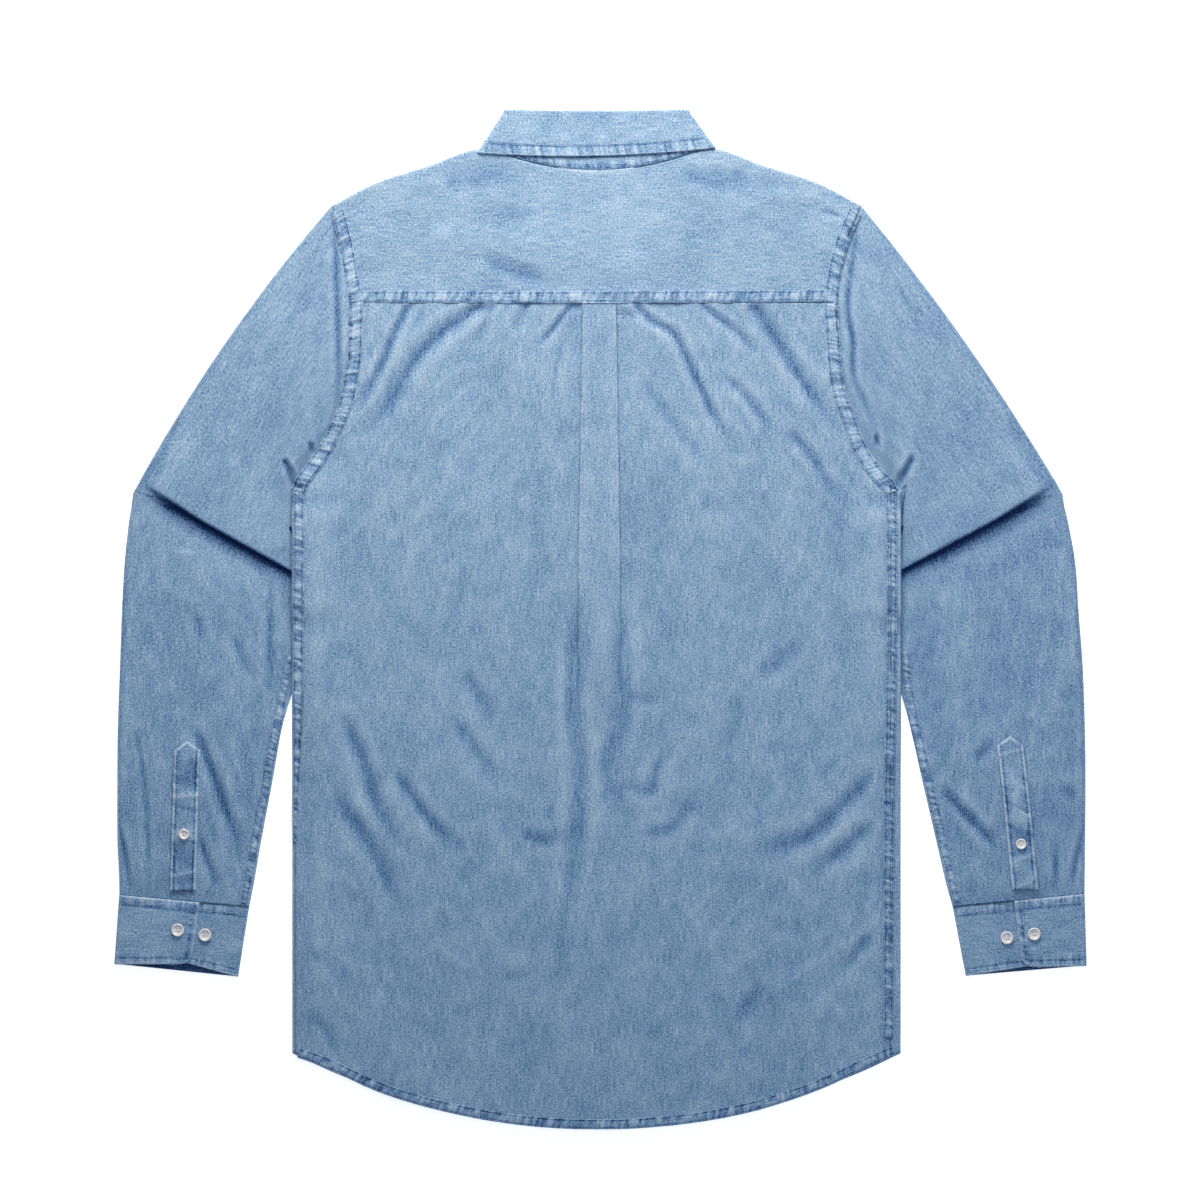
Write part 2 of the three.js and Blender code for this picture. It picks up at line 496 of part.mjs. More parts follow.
function sleeve(word, side) {
  const elbow = ELBOW[word];
  const crease = new THREE.Vector3(elbow.inX - elbow.outX, elbow.inY - elbow.outY, 0);
  const down = new THREE.Vector3(crease.y, -crease.x, 0).normalize();
  if (down.y > 0) down.negate();
  const rings = [];
  const creaseAt = (w) => new THREE.Vector3(lerp(elbow.outX, elbow.inX, w), lerp(elbow.outY, elbow.inY, w), 0);
  for (const s of [0, 0.1, 0.24, 0.4, 0.56, 0.72, 0.86, 0.95]) {
    rings.push({
      line: (w) => {
        const y = lerp(ARMHOLE[0].y, 122, w);
        const armhole = new THREE.Vector3(armholeAt(y, word) + 0.8 + 1.4 * smooth(0.8, 1, w), y, 0);
        const p = armhole.lerp(creaseAt(w), s);
        const bulge = elbow.bulge * 4 * s * (1 - s) * (1 - w);
        p.add(new THREE.Vector3(0.81 * bulge, 0.59 * bulge, 0));
        // Below the shoulder blade the sleeve stays outside the curve of the armhole
        const clear = armholeAt(p.y, word) + 0.8 + 30 * s;
        p.x = lerp(p.x, Math.max(p.x, clear), smooth(108, 120, p.y));
        return p;
      },
      top: lerp(BACK_REST, 3.6, s),
      puff: 1.0 + 1.8 * Math.sin(Math.PI * Math.min(s * 1.1, 1)) + 4.4 * smooth(0.55, 1, s),
      near: lerp(2.6, 2.1, smooth(0, 0.1, s)),
    });
  }
  // The crease: path of the upper layer, lap first. along is measured down the sleeve.
  const lapRadius = (ELBOW_HEIGHT - ELBOW_RETURN) / 2;
  const path = [
    { along: -lapRadius, z: ELBOW_HEIGHT, low: 5.0 },
    { along: -0.3 * lapRadius, z: ELBOW_HEIGHT - 0.3 * lapRadius, low: 4.8 },
    { along: 0, z: ELBOW_HEIGHT - lapRadius, low: 4.2 },
    { along: -lapRadius, z: ELBOW_RETURN, low: 3.5 },
    { along: 0.6 - ELBOW_DEPTH, z: ELBOW_RETURN, low: 3.5 },
    { along: -ELBOW_DEPTH - 0.3, z: (ELBOW_RETURN + ELBOW_UNDER) / 2, low: 2.75 },
    { along: 0.6 - ELBOW_DEPTH, z: ELBOW_UNDER, low: ELBOW_UNDER },
    { along: -2, z: ELBOW_UNDER, low: ELBOW_UNDER },
  ];
  path.forEach((step, k) => {
    const even = (k - 3) * 1.9;
    rings.push({
      line: (w) => creaseAt(w).addScaledVector(down, even),
      crease: (w) => (step.along - even) * smooth(0.07, 0.5, w) * (1 - smooth(0.945, 0.975, w)),
      topAt: (w) => {
        const full = lerp(step.z, step.low, smooth(0.74, 0.93, w));
        return lerp(3.0, full, smooth(0, 0.14, w));
      },
    });
  });
  for (const row of FOREARM[word]) {
    rings.push({
      line: (w) => new THREE.Vector3(lerp(row.outX, row.inX, w), lerp(row.outY, row.inY, w), 0),
      top: row.top,
      puff: row.puff,
      near: row.inY > -70 ? 2.0 : row.top,
    });
  }
  const grid = rings.map((ring) => {
    const width = ring.line(0).distanceTo(ring.line(1));
    const height = (w) => {
      if (ring.topAt) return ring.topAt(w);
      const crown = Math.sqrt(Math.max(4 * w * (1 - w), 0));
      const p = ring.line(w);
      const creases = folded(SLEEVE_FOLDS[word], side * p.x, p.y) * smooth(0, 0.08, w) * (1 - smooth(0.9, 1, w));
      const level = lerp(ring.top, ring.near, w) + ring.puff * crown * (1 - smooth(0.7, 0.88, w)) + creases;
      return Math.max(level, ELBOW_UNDER - 0.1);
    };
    const points = [];
    const add = (w, z, shift = 0) => {
      const p = ring.line(w).addScaledVector(down, shift);
      points.push(new THREE.Vector3(side * p.x, p.y, z));
    };
    const rolledIn = (height(1) - FLOOR) / 2;
    const rolledOut = (height(0) - FLOOR) / 2;
    const inner = (rolledIn + CLOTH / 2) / width;
    const outer = (rolledOut + CLOTH / 2) / width;
    const wall0 = CLOTH / 2 / width;
    for (let k = 0; k <= RING_TOP; k += 1) {
      const share = RING_SHARES[k];
      const w = lerp(outer, 1 - inner, share);
      add(w, k === 0 ? FLOOR + 2 * rolledOut : k === RING_TOP ? FLOOR + 2 * rolledIn : height(w),
        ring.crease && k > 0 && k < RING_TOP ? ring.crease(w) : 0);
    }
    for (const angle of ROLL) {
      const turn = (angle * Math.PI) / 180;
      add(1 - inner + (inner - wall0) * Math.cos(turn), FLOOR + rolledIn * (1 + Math.sin(turn)));
    }
    for (let k = 0; k <= RING_LOW; k += 1) add(lerp(1 - inner, outer, k / RING_LOW), FLOOR);
    for (const angle of [...ROLL].reverse()) {
      const turn = (angle * Math.PI) / 180;
      add(outer - (outer - wall0) * Math.cos(turn), FLOOR + rolledOut * (1 + Math.sin(turn)));
    }
    return points;
  });
  return { grid, mesh: wall(`sleeve_${word}`, grid, { closed: true }), firstForearm: grid.length - FOREARM[word].length };
}

// Point on a grid between its rows and columns
function onGrid(grid, i, j) {
  const i0 = clamp(Math.floor(i), 0, grid.length - 2);
  const j0 = clamp(Math.floor(j), 0, grid[0].length - 2);
  const low = grid[i0][j0].clone().lerp(grid[i0][j0 + 1], j - j0);
  const high = grid[i0 + 1][j0].clone().lerp(grid[i0 + 1][j0 + 1], j - j0);
  return low.lerp(high, i - i0);
}

// Where a place on the forearm's upper layer lies on the sleeve's grid
function findOnSleeve(made, x, y) {
  let best = { far: Infinity };
  for (let i = made.firstForearm; i <= made.grid.length - 1; i += 0.05) {
    for (let j = 0; j <= RING_TOP; j += 0.05) {
      const p = onGrid(made.grid, i, j);
      const far = (p.x - x) ** 2 + (p.y - y) ** 2;
      if (far < best.far) best = { far, p };
    }
  }
  return best.p;
}

// Placket: a pointed band that lies on the sleeve, made from the sleeve's own points, moved out
function placket(word, side, made) {
  const size = PLACKET[word];
  const rows = 9;
  const grid = [];
  for (let k = 0; k <= rows; k += 1) {
    const t = k / rows;
    const points = [];
    for (let m = -2; m <= 2; m += 1) {
      const across = m / 2;
      const point = t < 0.5 ? PLACKET_POINT * Math.abs(across) * (1 - t / 0.5) : 0;
      const x = side * (lerp(size.tipX, size.endX, t) + across * size.width / 2);
      const y = lerp(size.tipY - point, size.endY, t);
      const p = findOnSleeve(made, x, y);
      points.push(new THREE.Vector3(x, y, p.z + CLOTH / 2 + LAP + CLOTH / 2 + 0.35));
    }
    grid.push(points);
  }
  return { grid, mesh: wall(`sleeve_placket_${word}`, grid) };
}

// Cuff: one band, from its upper end round the outer fold, under the sleeve and back up to the underlap
const CUFF_LEVEL = { low: BAND / 2, under: BAND / 2 + BAND + LAP, over: BAND / 2 + 2 * (BAND + LAP) };

function cuff(word, side) {
  const size = CUFF[word];
  const rows = [0, 0.25, 0.5, 0.72, 0.86, 0.93, 0.97, 1];
  const grid = rows.map((t) => {
    const out = new THREE.Vector3(lerp(size.outX, size.endOutX, t), lerp(size.outY - SEAM, size.endOutY, t), 0);
    const inside = new THREE.Vector3(lerp(size.inX, size.endInX, t), lerp(size.inY - SEAM, size.endInY, t), 0);
    const width = out.distanceTo(inside);
    const points = [];
    const add = (w, z) => {
      const p = out.clone().lerp(inside, w);
      points.push(new THREE.Vector3(side * p.x, p.y, z));
    };
    const rollOut = (CUFF_LEVEL.over - CUFF_LEVEL.low) / 2;
    const rollIn = (CUFF_LEVEL.under - CUFF_LEVEL.low) / 2;
    const fromEnd = Math.max(0, CUFF_CORNER - (1 - t) * out.distanceTo(new THREE.Vector3(size.outX, size.outY, 0)) / Math.max(t, 0.01));
    const rounding = fromEnd > 0 ? CUFF_CORNER - Math.sqrt(Math.max(CUFF_CORNER ** 2 - fromEnd ** 2, 0)) : 0;
    const start = size.lap - rounding / width;
    const outer = (rollOut + BAND / 2) / width;
    const inner = (rollIn + BAND / 2) / width;
    const wall0 = BAND / 2 / width;
    for (let k = 0; k <= 5; k += 1) add(lerp(start, outer, k / 5), CUFF_LEVEL.over);
    for (const angle of ROLL) {
      const turn = (angle * Math.PI) / 180;
      add(outer - (outer - wall0) * Math.cos(turn), CUFF_LEVEL.low + rollOut * (1 + Math.sin(turn)));
    }
    for (let k = 0; k <= 4; k += 1) add(lerp(outer, 1 - inner, k / 4), CUFF_LEVEL.low);
    for (const angle of [...ROLL].reverse()) {
      const turn = (angle * Math.PI) / 180;
      add(1 - inner + (inner - wall0) * Math.cos(turn), CUFF_LEVEL.low + rollIn * (1 + Math.sin(turn)));
    }
    for (let k = 0; k <= 4; k += 1) add(lerp(1 - inner, size.lap - CUFF_UNDERLAP, k / 4), CUFF_LEVEL.under);
    return points;
  });
  return wall(`cuff_${word}`, grid, { thickness: BAND });
}

// The collar goes round the flattened neck as a band: right end at the centre front, right side,
// back, left side and left end. turn is 0 on the back and 1 on the front.
const COLLAR_STATIONS = (() => {
  const stations = [];
  for (let k = 0; k <= 5; k += 1) stations.push({ part: 'front', side: -1, share: k / 5 });
  for (const angle of [-45, 0, 45]) stations.push({ part: 'roll', side: -1, angle });
  for (let k = 0; k <= 8; k += 1) stations.push({ part: 'back', share: k / 8 });
  for (const angle of [45, 0, -45]) stations.push({ part: 'roll', side: 1, angle });
  for (let k = 5; k >= 0; k -= 1) stations.push({ part: 'front', side: 1, share: k / 5 });
  return stations;
})();

function collarStand() {
  const grid = [];
  for (const t of [0, 0.35, 0.7, 1]) {
    const half = lerp(NECK_HALF - 1.2, 78, t);
    const radius = (STAND_BACK_Z - STAND_FRONT_Z) / 2;
    grid.push(COLLAR_STATIONS.map((station) => {
      const lowest = BACK_NECK - 1.2;
      if (station.part === 'back') {
        const out = lerp(-half, half, station.share);
        const low = lowest - NECK_DROP * (1 - (out / half) ** 2) + SEAM + 1.6;
        return new THREE.Vector3(CENTRE + out, lerp(low, STAND_TOP, t), STAND_BACK_Z);
      }
      if (station.part === 'front') {
        const out = lerp(1.2, half, station.share);
        const low = frontNeck(out * NECK_HALF / half) + SEAM + 1.6;
        const y = lerp(low, lerp(low + 30, STAND_TOP, (out / half) ** 3), t);
        return new THREE.Vector3(CENTRE + station.side * out, y, STAND_FRONT_Z);
      }
      const turn = (station.angle * Math.PI) / 180;
      const z = (STAND_BACK_Z + STAND_FRONT_Z) / 2 + radius * Math.sin(turn);
      const out = half + radius * Math.cos(turn);
      return new THREE.Vector3(CENTRE + station.side * out, lerp(lowest + SEAM + 1.6, STAND_TOP, t), z);
    }));
  }
  return wall('collar_stand', grid, { thickness: STAND });
}

// Collar fall: from the upper edge of the stand, over the roll and down to its free edge
function collarFall() {
  const grid = [];
  const levels = [
    { level: 0, rise: 0, fall: 0 },
    { level: 0.15, rise: 0.7, fall: 0 },
    { level: 0.5, rise: 1, fall: 0 },
    { level: 0.85, rise: 0.7, fall: 0 },
    { level: 1, rise: 0, fall: 0 },
    { level: 1, rise: 0, fall: 0.33 },
    { level: 1, rise: 0, fall: 0.67 },
    { level: 1, rise: 0, fall: 1 },
  ];
  for (const { level, rise, fall } of levels) {
    const zBack = lerp(STAND_BACK_Z, FALL_BACK_Z, level);
    const zFront = lerp(STAND_FRONT_Z, FALL_FRONT_Z, level);
    const start = STAND_TOP + SEAM + 0.8;
    const lift = 2.4 * rise;
    grid.push(COLLAR_STATIONS.map((station) => {
      const half = lerp(78, 101, fall);
      if (station.part === 'back') {
        const out = lerp(-half, half, station.share);
        const dip = 3 * (1 - (out / half) ** 2) * rise;
        const free = 409.5 - 4.5 * (1 - (out / half) ** 2) + 2.2 * out / half;
        return new THREE.Vector3(CENTRE + out, lerp(start, free, fall) + lift - dip * 0.4, zBack);
      }
      if (station.part === 'front') {
        const share = station.share;
        const top = frontNeck(lerp(2, NECK_HALF, share)) + SEAM + 1.6;
        const foldY = lerp(top + 30, STAND_TOP, share ** 3) + SEAM + 2.2 - 1.4 * share;
        const foldX = lerp(2, 78, share);
        const freeX = lerp(44, 101, share);
        const freeY = lerp(316, 409.5 + 2.2 * station.side, share ** 0.8);
        const x = lerp(foldX, freeX, fall);
        return new THREE.Vector3(CENTRE + station.side * x, lerp(foldY, freeY, fall) + lift, zFront);
      }
      const turn = (station.angle * Math.PI) / 180;
      const radius = (zBack - zFront) / 2;
      const x = half + radius * Math.cos(turn) * (0.6 + 0.6 * level);
      const free = 409.5 + 2.2 * station.side;
      return new THREE.Vector3(CENTRE + station.side * x, lerp(start, free, fall) + lift,
        (zBack + zFront) / 2 + radius * Math.sin(turn));
    }));
  }
  return wall('collar_fall', grid, { thickness: BAND });
}

// A shirt button: flat back, raised rim and a shallow dish
function button(name, diameter, x, y, z, sides = 14) {
  const r = diameter / 2;
  const h = BUTTON.thick;
  const profile = [[0, 0], [r * 0.8, 0], [r, h * 0.45], [r * 0.9, h], [r * 0.7, h], [r * 0.5, h * 0.62],
    [0, h * 0.58]].map(([px, py]) => new THREE.Vector2(px, py));
  const geometry = new THREE.LatheGeometry(profile, sides);
  const mesh = new THREE.Mesh(geometry, new THREE.MeshStandardMaterial({ color: PEARL, roughness: 0.3, metalness: 0 }));
  mesh.name = name;
  mesh.rotation.x = Math.PI / 2;
  mesh.position.set(x, y, z);
  return mesh;
}

const shirt = new THREE.Group();
shirt.add(backPanel(), yoke(), front('front_left', -1), front('front_right', 1), collarStand(), collarFall());
for (const [word, side] of [['left', -1], ['right', 1]]) {
  const made = sleeve(word, side);
  const strip = placket(word, side, made);
  shirt.add(made.mesh, strip.mesh, cuff(word, side));
  CUFF_BUTTONS[word].forEach((place, k) => {
    const level = (k === 0 ? CUFF_LEVEL.over : CUFF_LEVEL.under) + BAND / 2 + LAP;
    shirt.add(button(`cuff_button_${word}_${k + 1}`, BUTTON.wide, side * place.x, place.y, level));
  });
  const seat = onGrid(strip.grid, PLACKET_BUTTON[word] * 9, 2);
  shirt.add(button(`placket_button_${word}`, BUTTON.small, seat.x, seat.y, seat.z + CLOTH / 2 + LAP));
}
for (let k = 0; k < FRONT_BUTTONS; k += 1) {
  const y = FRONT_BUTTON_TOP - k * FRONT_BUTTON_PITCH;
  shirt.add(button(`front_button_${k + 1}`, BUTTON.wide, CENTRE, y, 0.1, 8));
}

export default shirt;
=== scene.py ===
# %% [markdown]
# # A denim shirt, laid flat on its front
# The shirt lies on a table with its back up. Each piece that a maker would cut is one shell of
# cloth here, built as a grid of points from the shirt's own sizes. Seams, stitches and buttons
# are laid on those shells afterwards. Sizes in this file are millimetres until a mesh is made.

# %% Load the frame
import math
import bmesh
import bpy
import numpy as np
from mathutils.bvhtree import BVHTree
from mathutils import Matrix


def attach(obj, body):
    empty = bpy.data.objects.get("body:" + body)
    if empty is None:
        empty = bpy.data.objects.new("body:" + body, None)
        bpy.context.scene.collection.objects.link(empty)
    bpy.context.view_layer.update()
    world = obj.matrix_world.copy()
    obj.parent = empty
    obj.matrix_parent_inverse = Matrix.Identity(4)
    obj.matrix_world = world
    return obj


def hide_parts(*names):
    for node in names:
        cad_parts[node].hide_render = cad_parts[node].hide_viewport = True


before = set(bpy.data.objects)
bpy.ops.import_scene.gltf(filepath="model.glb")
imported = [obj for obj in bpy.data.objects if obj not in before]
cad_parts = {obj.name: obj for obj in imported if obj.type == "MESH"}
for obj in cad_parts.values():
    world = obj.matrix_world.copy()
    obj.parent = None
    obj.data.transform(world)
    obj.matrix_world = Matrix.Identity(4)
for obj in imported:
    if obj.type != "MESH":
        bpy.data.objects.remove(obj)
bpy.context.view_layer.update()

MM = 0.001

# %% [markdown]
# ## Colours and materials
# Washed denim of this weight is a fine weave with blue warp threads and near-white weft threads.
# The eye sees short uneven streaks along the warp, a paler nap on ridges and seam edges where
# washing has rubbed the dye away, and deeper blue in the troughs, which is painted shade here.
# Streaks are noise that is stretched along the thread. Real threads are 0.25 mm apart, too fine
# for a picture a metre wide, so they are drawn about three times as coarse.


# %% Colour and node helpers
def linear(hex_colour):
    """An sRGB hex colour as linear RGBA."""
    parts = [int(hex_colour[k:k + 2], 16) / 255 for k in (1, 3, 5)]
    return tuple(c / 12.92 if c <= 0.04045 else ((c + 0.055) / 1.055) ** 2.4 for c in parts) + (1.0,)


def add_node(tree, kind, settings=None, inputs=None):
    """Adds a node, sets its properties, and fills or links its inputs."""
    node = tree.nodes.new(kind)
    for name, value in (settings or {}).items():
        setattr(node, name, value)
    for name, value in (inputs or {}).items():
        if isinstance(value, bpy.types.NodeSocket):
            tree.links.new(value, node.inputs[name])
        else:
            node.inputs[name].default_value = value
    return node


def new_material(name):
    """An empty node material with its output node."""
    material = bpy.data.materials.new(name)
    material.use_nodes = True
    material.node_tree.nodes.clear()
    output = add_node(material.node_tree, "ShaderNodeOutputMaterial")
    return material, material.node_tree, output


# %% [markdown]
# The dye is a sum of noises, each centred on zero: long streaks, short thick ones, the threads
# that cross them, and the patches that washing leaves. The wear of the cloth is added to that
# sum, together with painted shade in its folds, creases and hollows and painted light toward the
# shoulders, and a ramp of four blues turns it into a colour. The noises alone drive the fine bumps.

# %% Washed denim
THREAD = 0.8 * MM         # drawn width of a warp streak, coarser than the real thread
STREAK = 16 * MM          # length of a long streak
SLUB = 1.8 * MM           # length of a short, thick one
CLOUD = 55 * MM           # size of the patches that washing leaves


def stretched_noise(tree, weave, across, length, detail, shift=0.0):
    """Noise drawn out along the thread: across and length are sizes in metres."""
    mapping = add_node(tree, "ShaderNodeMapping", inputs={
        "Vector": weave, "Scale": (1 / across, 1 / length, 1), "Location": (shift, shift, 0)})
    noise = add_node(tree, "ShaderNodeTexNoise", inputs={
        "Vector": mapping.outputs["Vector"], "Scale": 1.0, "Detail": detail, "Roughness": 0.6})
    return noise.outputs["Fac"]


def denim_material(name, deep, dark, middle, light):
    """Washed denim. The weave runs along V of the UV map, and an attribute of the cloth holds where it is
    rubbed pale, with painted shade and painted light.
    """
    material, tree, output = new_material(name)
    weave = add_node(tree, "ShaderNodeUVMap", {"uv_map": "weave"}).outputs["UV"]
    parts = [
        (stretched_noise(tree, weave, THREAD, STREAK, 2.0), 0.85),
        (stretched_noise(tree, weave, THREAD, SLUB, 1.0, 7.3), 1.20),
        (stretched_noise(tree, weave, 1.6 * SLUB, THREAD, 1.0, 3.1), 0.85),
        (stretched_noise(tree, weave, CLOUD / 4, CLOUD / 3, 2.0, 5.9), 0.22),
        (stretched_noise(tree, weave, CLOUD, CLOUD, 3.0, 1.7), 0.36),
    ]
    total = None
    for value, share in parts:
        centred = add_node(tree, "ShaderNodeMath", {"operation": "MULTIPLY_ADD"}, {
            0: value, 1: share, 2: -share / 2}).outputs[0]
        if total is None:
            total = centred
        else:
            total = add_node(tree, "ShaderNodeMath", {"operation": "ADD"}, {0: total, 1: centred}).outputs[0]
    # this attribute holds the rubbed wear of the cloth together with painted shade and painted light
    wear_and_shading = add_node(tree, "ShaderNodeAttribute", {"attribute_name": "wear_and_shading"}).outputs["Fac"]
    tone = add_node(tree, "ShaderNodeMath", {"operation": "MULTIPLY_ADD"}, {
        0: wear_and_shading, 1: 0.5, 2: total}).outputs[0]
    place = add_node(tree, "ShaderNodeMath", {"operation": "ADD", "use_clamp": True}, {
        0: tone, 1: 0.6}).outputs[0]
    ramp = add_node(tree, "ShaderNodeValToRGB", inputs={"Fac": place})
    ramp.color_ramp.elements[0].color = linear(deep)
    ramp.color_ramp.elements[1].color = linear(light)
    ramp.color_ramp.elements.new(0.22).color = linear(dark)
    ramp.color_ramp.elements.new(0.6).color = linear(middle)
    bump = add_node(tree, "ShaderNodeBump", inputs={
        "Height": total, "Strength": 0.5, "Distance": 0.35 * MM})
    shader = add_node(tree, "ShaderNodeBsdfPrincipled", inputs={
        "Base Color": ramp.outputs["Color"], "Roughness": 0.88, "Normal": bump.outputs["Normal"]})
    shader.inputs["Sheen Weight"].default_value = 0.06
    shader.inputs["Sheen Roughness"].default_value = 0.45
    shader.inputs["Specular IOR Level"].default_value = 0.2
    tree.links.new(shader.outputs["BSDF"], output.inputs["Surface"])
    return material


DENIM = denim_material("washed_light_denim", "#122c58", "#43699a", "#7a9ec0", "#b0c6da")
print("denim material made")

# %% [markdown]
# ## Measuring from the photograph
# Folds and seams are placed where they show in the photograph. A place there is a pixel pair,
# and one pixel is 0.875 mm on the shirt, worked out from the buttons.

# %% Numbers shared by all pieces
PIXEL = 0.875             # millimetres on the shirt for one photograph pixel
PHOTO_MIDDLE = (600.5, 619.0)
CLOTH = 0.8               # drawn thickness of a panel
SEAM = 0.4                # space between pieces that meet at a seam
LAP = 0.4                 # space between two walls that lie on each other
CENTRE = -3.5             # the middle line of the back
EDGE = {-1: 269.9, 1: 262.9}   # the side folds, measured from the origin
HALF_LENGTH = 446
SEAM_INSET = 9.3          # the side seam lies on the back, this far in from the side fold
HEM_RISE = 66             # how much higher the hem is at the sides
FRONT_SHORTER = 22
UNDERARM = 113            # height where the side seam ends at the armhole
YOKE_SEAM = 276.6
NECK_HALF = 88
NECK_DROP = 17
BACK_NECK = 409           # height of the neck seam at the shoulder
FRONT_NECK = 345
FRONT_SEAM_END = 317
NECK_CORNER = 52
STAND_TOP = 441.6
PLACKET_HALF = 16         # half width of the front overlap
FLOOR = 0.5               # middle of the wall of cloth that lies on the table
BACK_REST = 3.5           # height of the back where it lies on the fronts
NECK_LIFT = 1.9           # the fronts ride this much higher on the collar points
BUTTON_THICK = 2.2
SIDES = {-1: "left", 1: "right"}


def lerp(a, b, t):
    return a + (b - a) * t


def smooth(low, high, x):
    """Goes gently from 0 at low to 1 at high, which may also be the smaller of the two."""
    t = np.clip((np.asarray(x, float) - low) / (high - low), 0, 1)
    return t * t * (3 - 2 * t)


def through(xs, ys, x):
    """A smooth curve through the points (xs, ys), read at x."""
    xs, ys = np.asarray(xs, float), np.asarray(ys, float)
    if xs[0] > xs[-1]:
        xs, ys = xs[::-1], ys[::-1]
    slope = np.gradient(ys, xs)
    k = np.clip(np.searchsorted(xs, x) - 1, 0, len(xs) - 2)
    span = xs[k + 1] - xs[k]
    t = np.clip((x - xs[k]) / span, 0, 1)
    rest = 1 - t
    return ((1 + 2 * t) * rest ** 2 * ys[k] + t * rest ** 2 * span * slope[k]
            + t * t * (3 - 2 * t) * ys[k + 1] - t * t * rest * span * slope[k + 1])


def from_photo(points):
    """Photograph pixels as millimetres in the frame."""
    points = np.asarray(points, float)
    return np.stack([(points[:, 0] - PHOTO_MIDDLE[0]) * PIXEL,
                     (PHOTO_MIDDLE[1] - points[:, 1]) * PIXEL], axis=1)


def drawn_line(points, step):
    """A smooth line through a few places, with points about step millimetres apart."""
    points = np.asarray(points, float)
    reach = np.concatenate([[0], np.cumsum(np.linalg.norm(np.diff(points, axis=0), axis=1))])
    at = np.linspace(0, reach[-1], max(2, int(round(reach[-1] / step)) + 1))
    return np.stack([through(reach, points[:, k], at) for k in range(points.shape[1])], axis=1)


def ripple(x, y, size, seed):
    """Soft random ripples between -1 and 1, about size millimetres across."""
    field = np.random.default_rng(seed).uniform(-1, 1, (64, 64))
    size = np.broadcast_to(size, (2,)) if np.ndim(size) else (size, size)
    u, v = x / size[0] + 31.7, y / size[1] + 17.3
    i, j = np.floor(u).astype(int), np.floor(v).astype(int)
    s, t = smooth(0, 1, u - i), smooth(0, 1, v - j)
    pick = lambda a, b: field[a % 64, b % 64]
    return lerp(lerp(pick(i, j), pick(i + 1, j), s), lerp(pick(i, j + 1), pick(i + 1, j + 1), s), t)


# %% [markdown]
# ## From a grid of points to a shell of cloth
# Cloth has two faces and an edge. The grid is the middle of the wall: both faces are that grid
# moved half a thickness along its normals, and a narrow rim joins them wherever the cloth ends.
# A UV map in metres follows the threads, so the weave stays with the cloth where it turns.


# %% Shell builder
def neighbours(grid, closed):
    """Differences along the rows and along the columns at each point."""
    if closed:
        across = np.roll(grid, -1, axis=1) - np.roll(grid, 1, axis=1)
    else:
        across = np.gradient(grid, axis=1)
    return across, np.gradient(grid, axis=0)


def relief(grid, reach=3):
    """How far each point stands over its surroundings: ridges rubbed paler, hollows darker as painted shade.
    """
    z = grid[..., 2]
    padded = np.pad(z, reach, mode="edge")
    rows, cols = z.shape
    total = np.zeros_like(z)
    for dy, dx in ((0, 1), (1, 0), (1, 1), (1, -1), (0, -1), (-1, 0), (-1, -1), (-1, 1)):
        top, left = reach + dy * reach, reach + dx * reach
        total += padded[top:top + rows, left:left + cols]
    # paler on ridges as wear, darker in hollows as painted shade
    return np.clip((z - total / 8) / 1.6, -0.8, 0.8)


def panel_wear_and_shading(grid, fold_shade):
    """Colour of a panel: rubbed pale on its small ridges, painted light paler toward the shoulders, painted
    shade deep in its hollows and folds.
    """
    # painted light: the cloth is paler toward the shoulders, where the light falls
    return np.clip(0.5 * relief(grid) - 0.17 * fold_shade + 0.08 * smooth(-300, 380, grid[..., 1]), -1.1, 0.6)


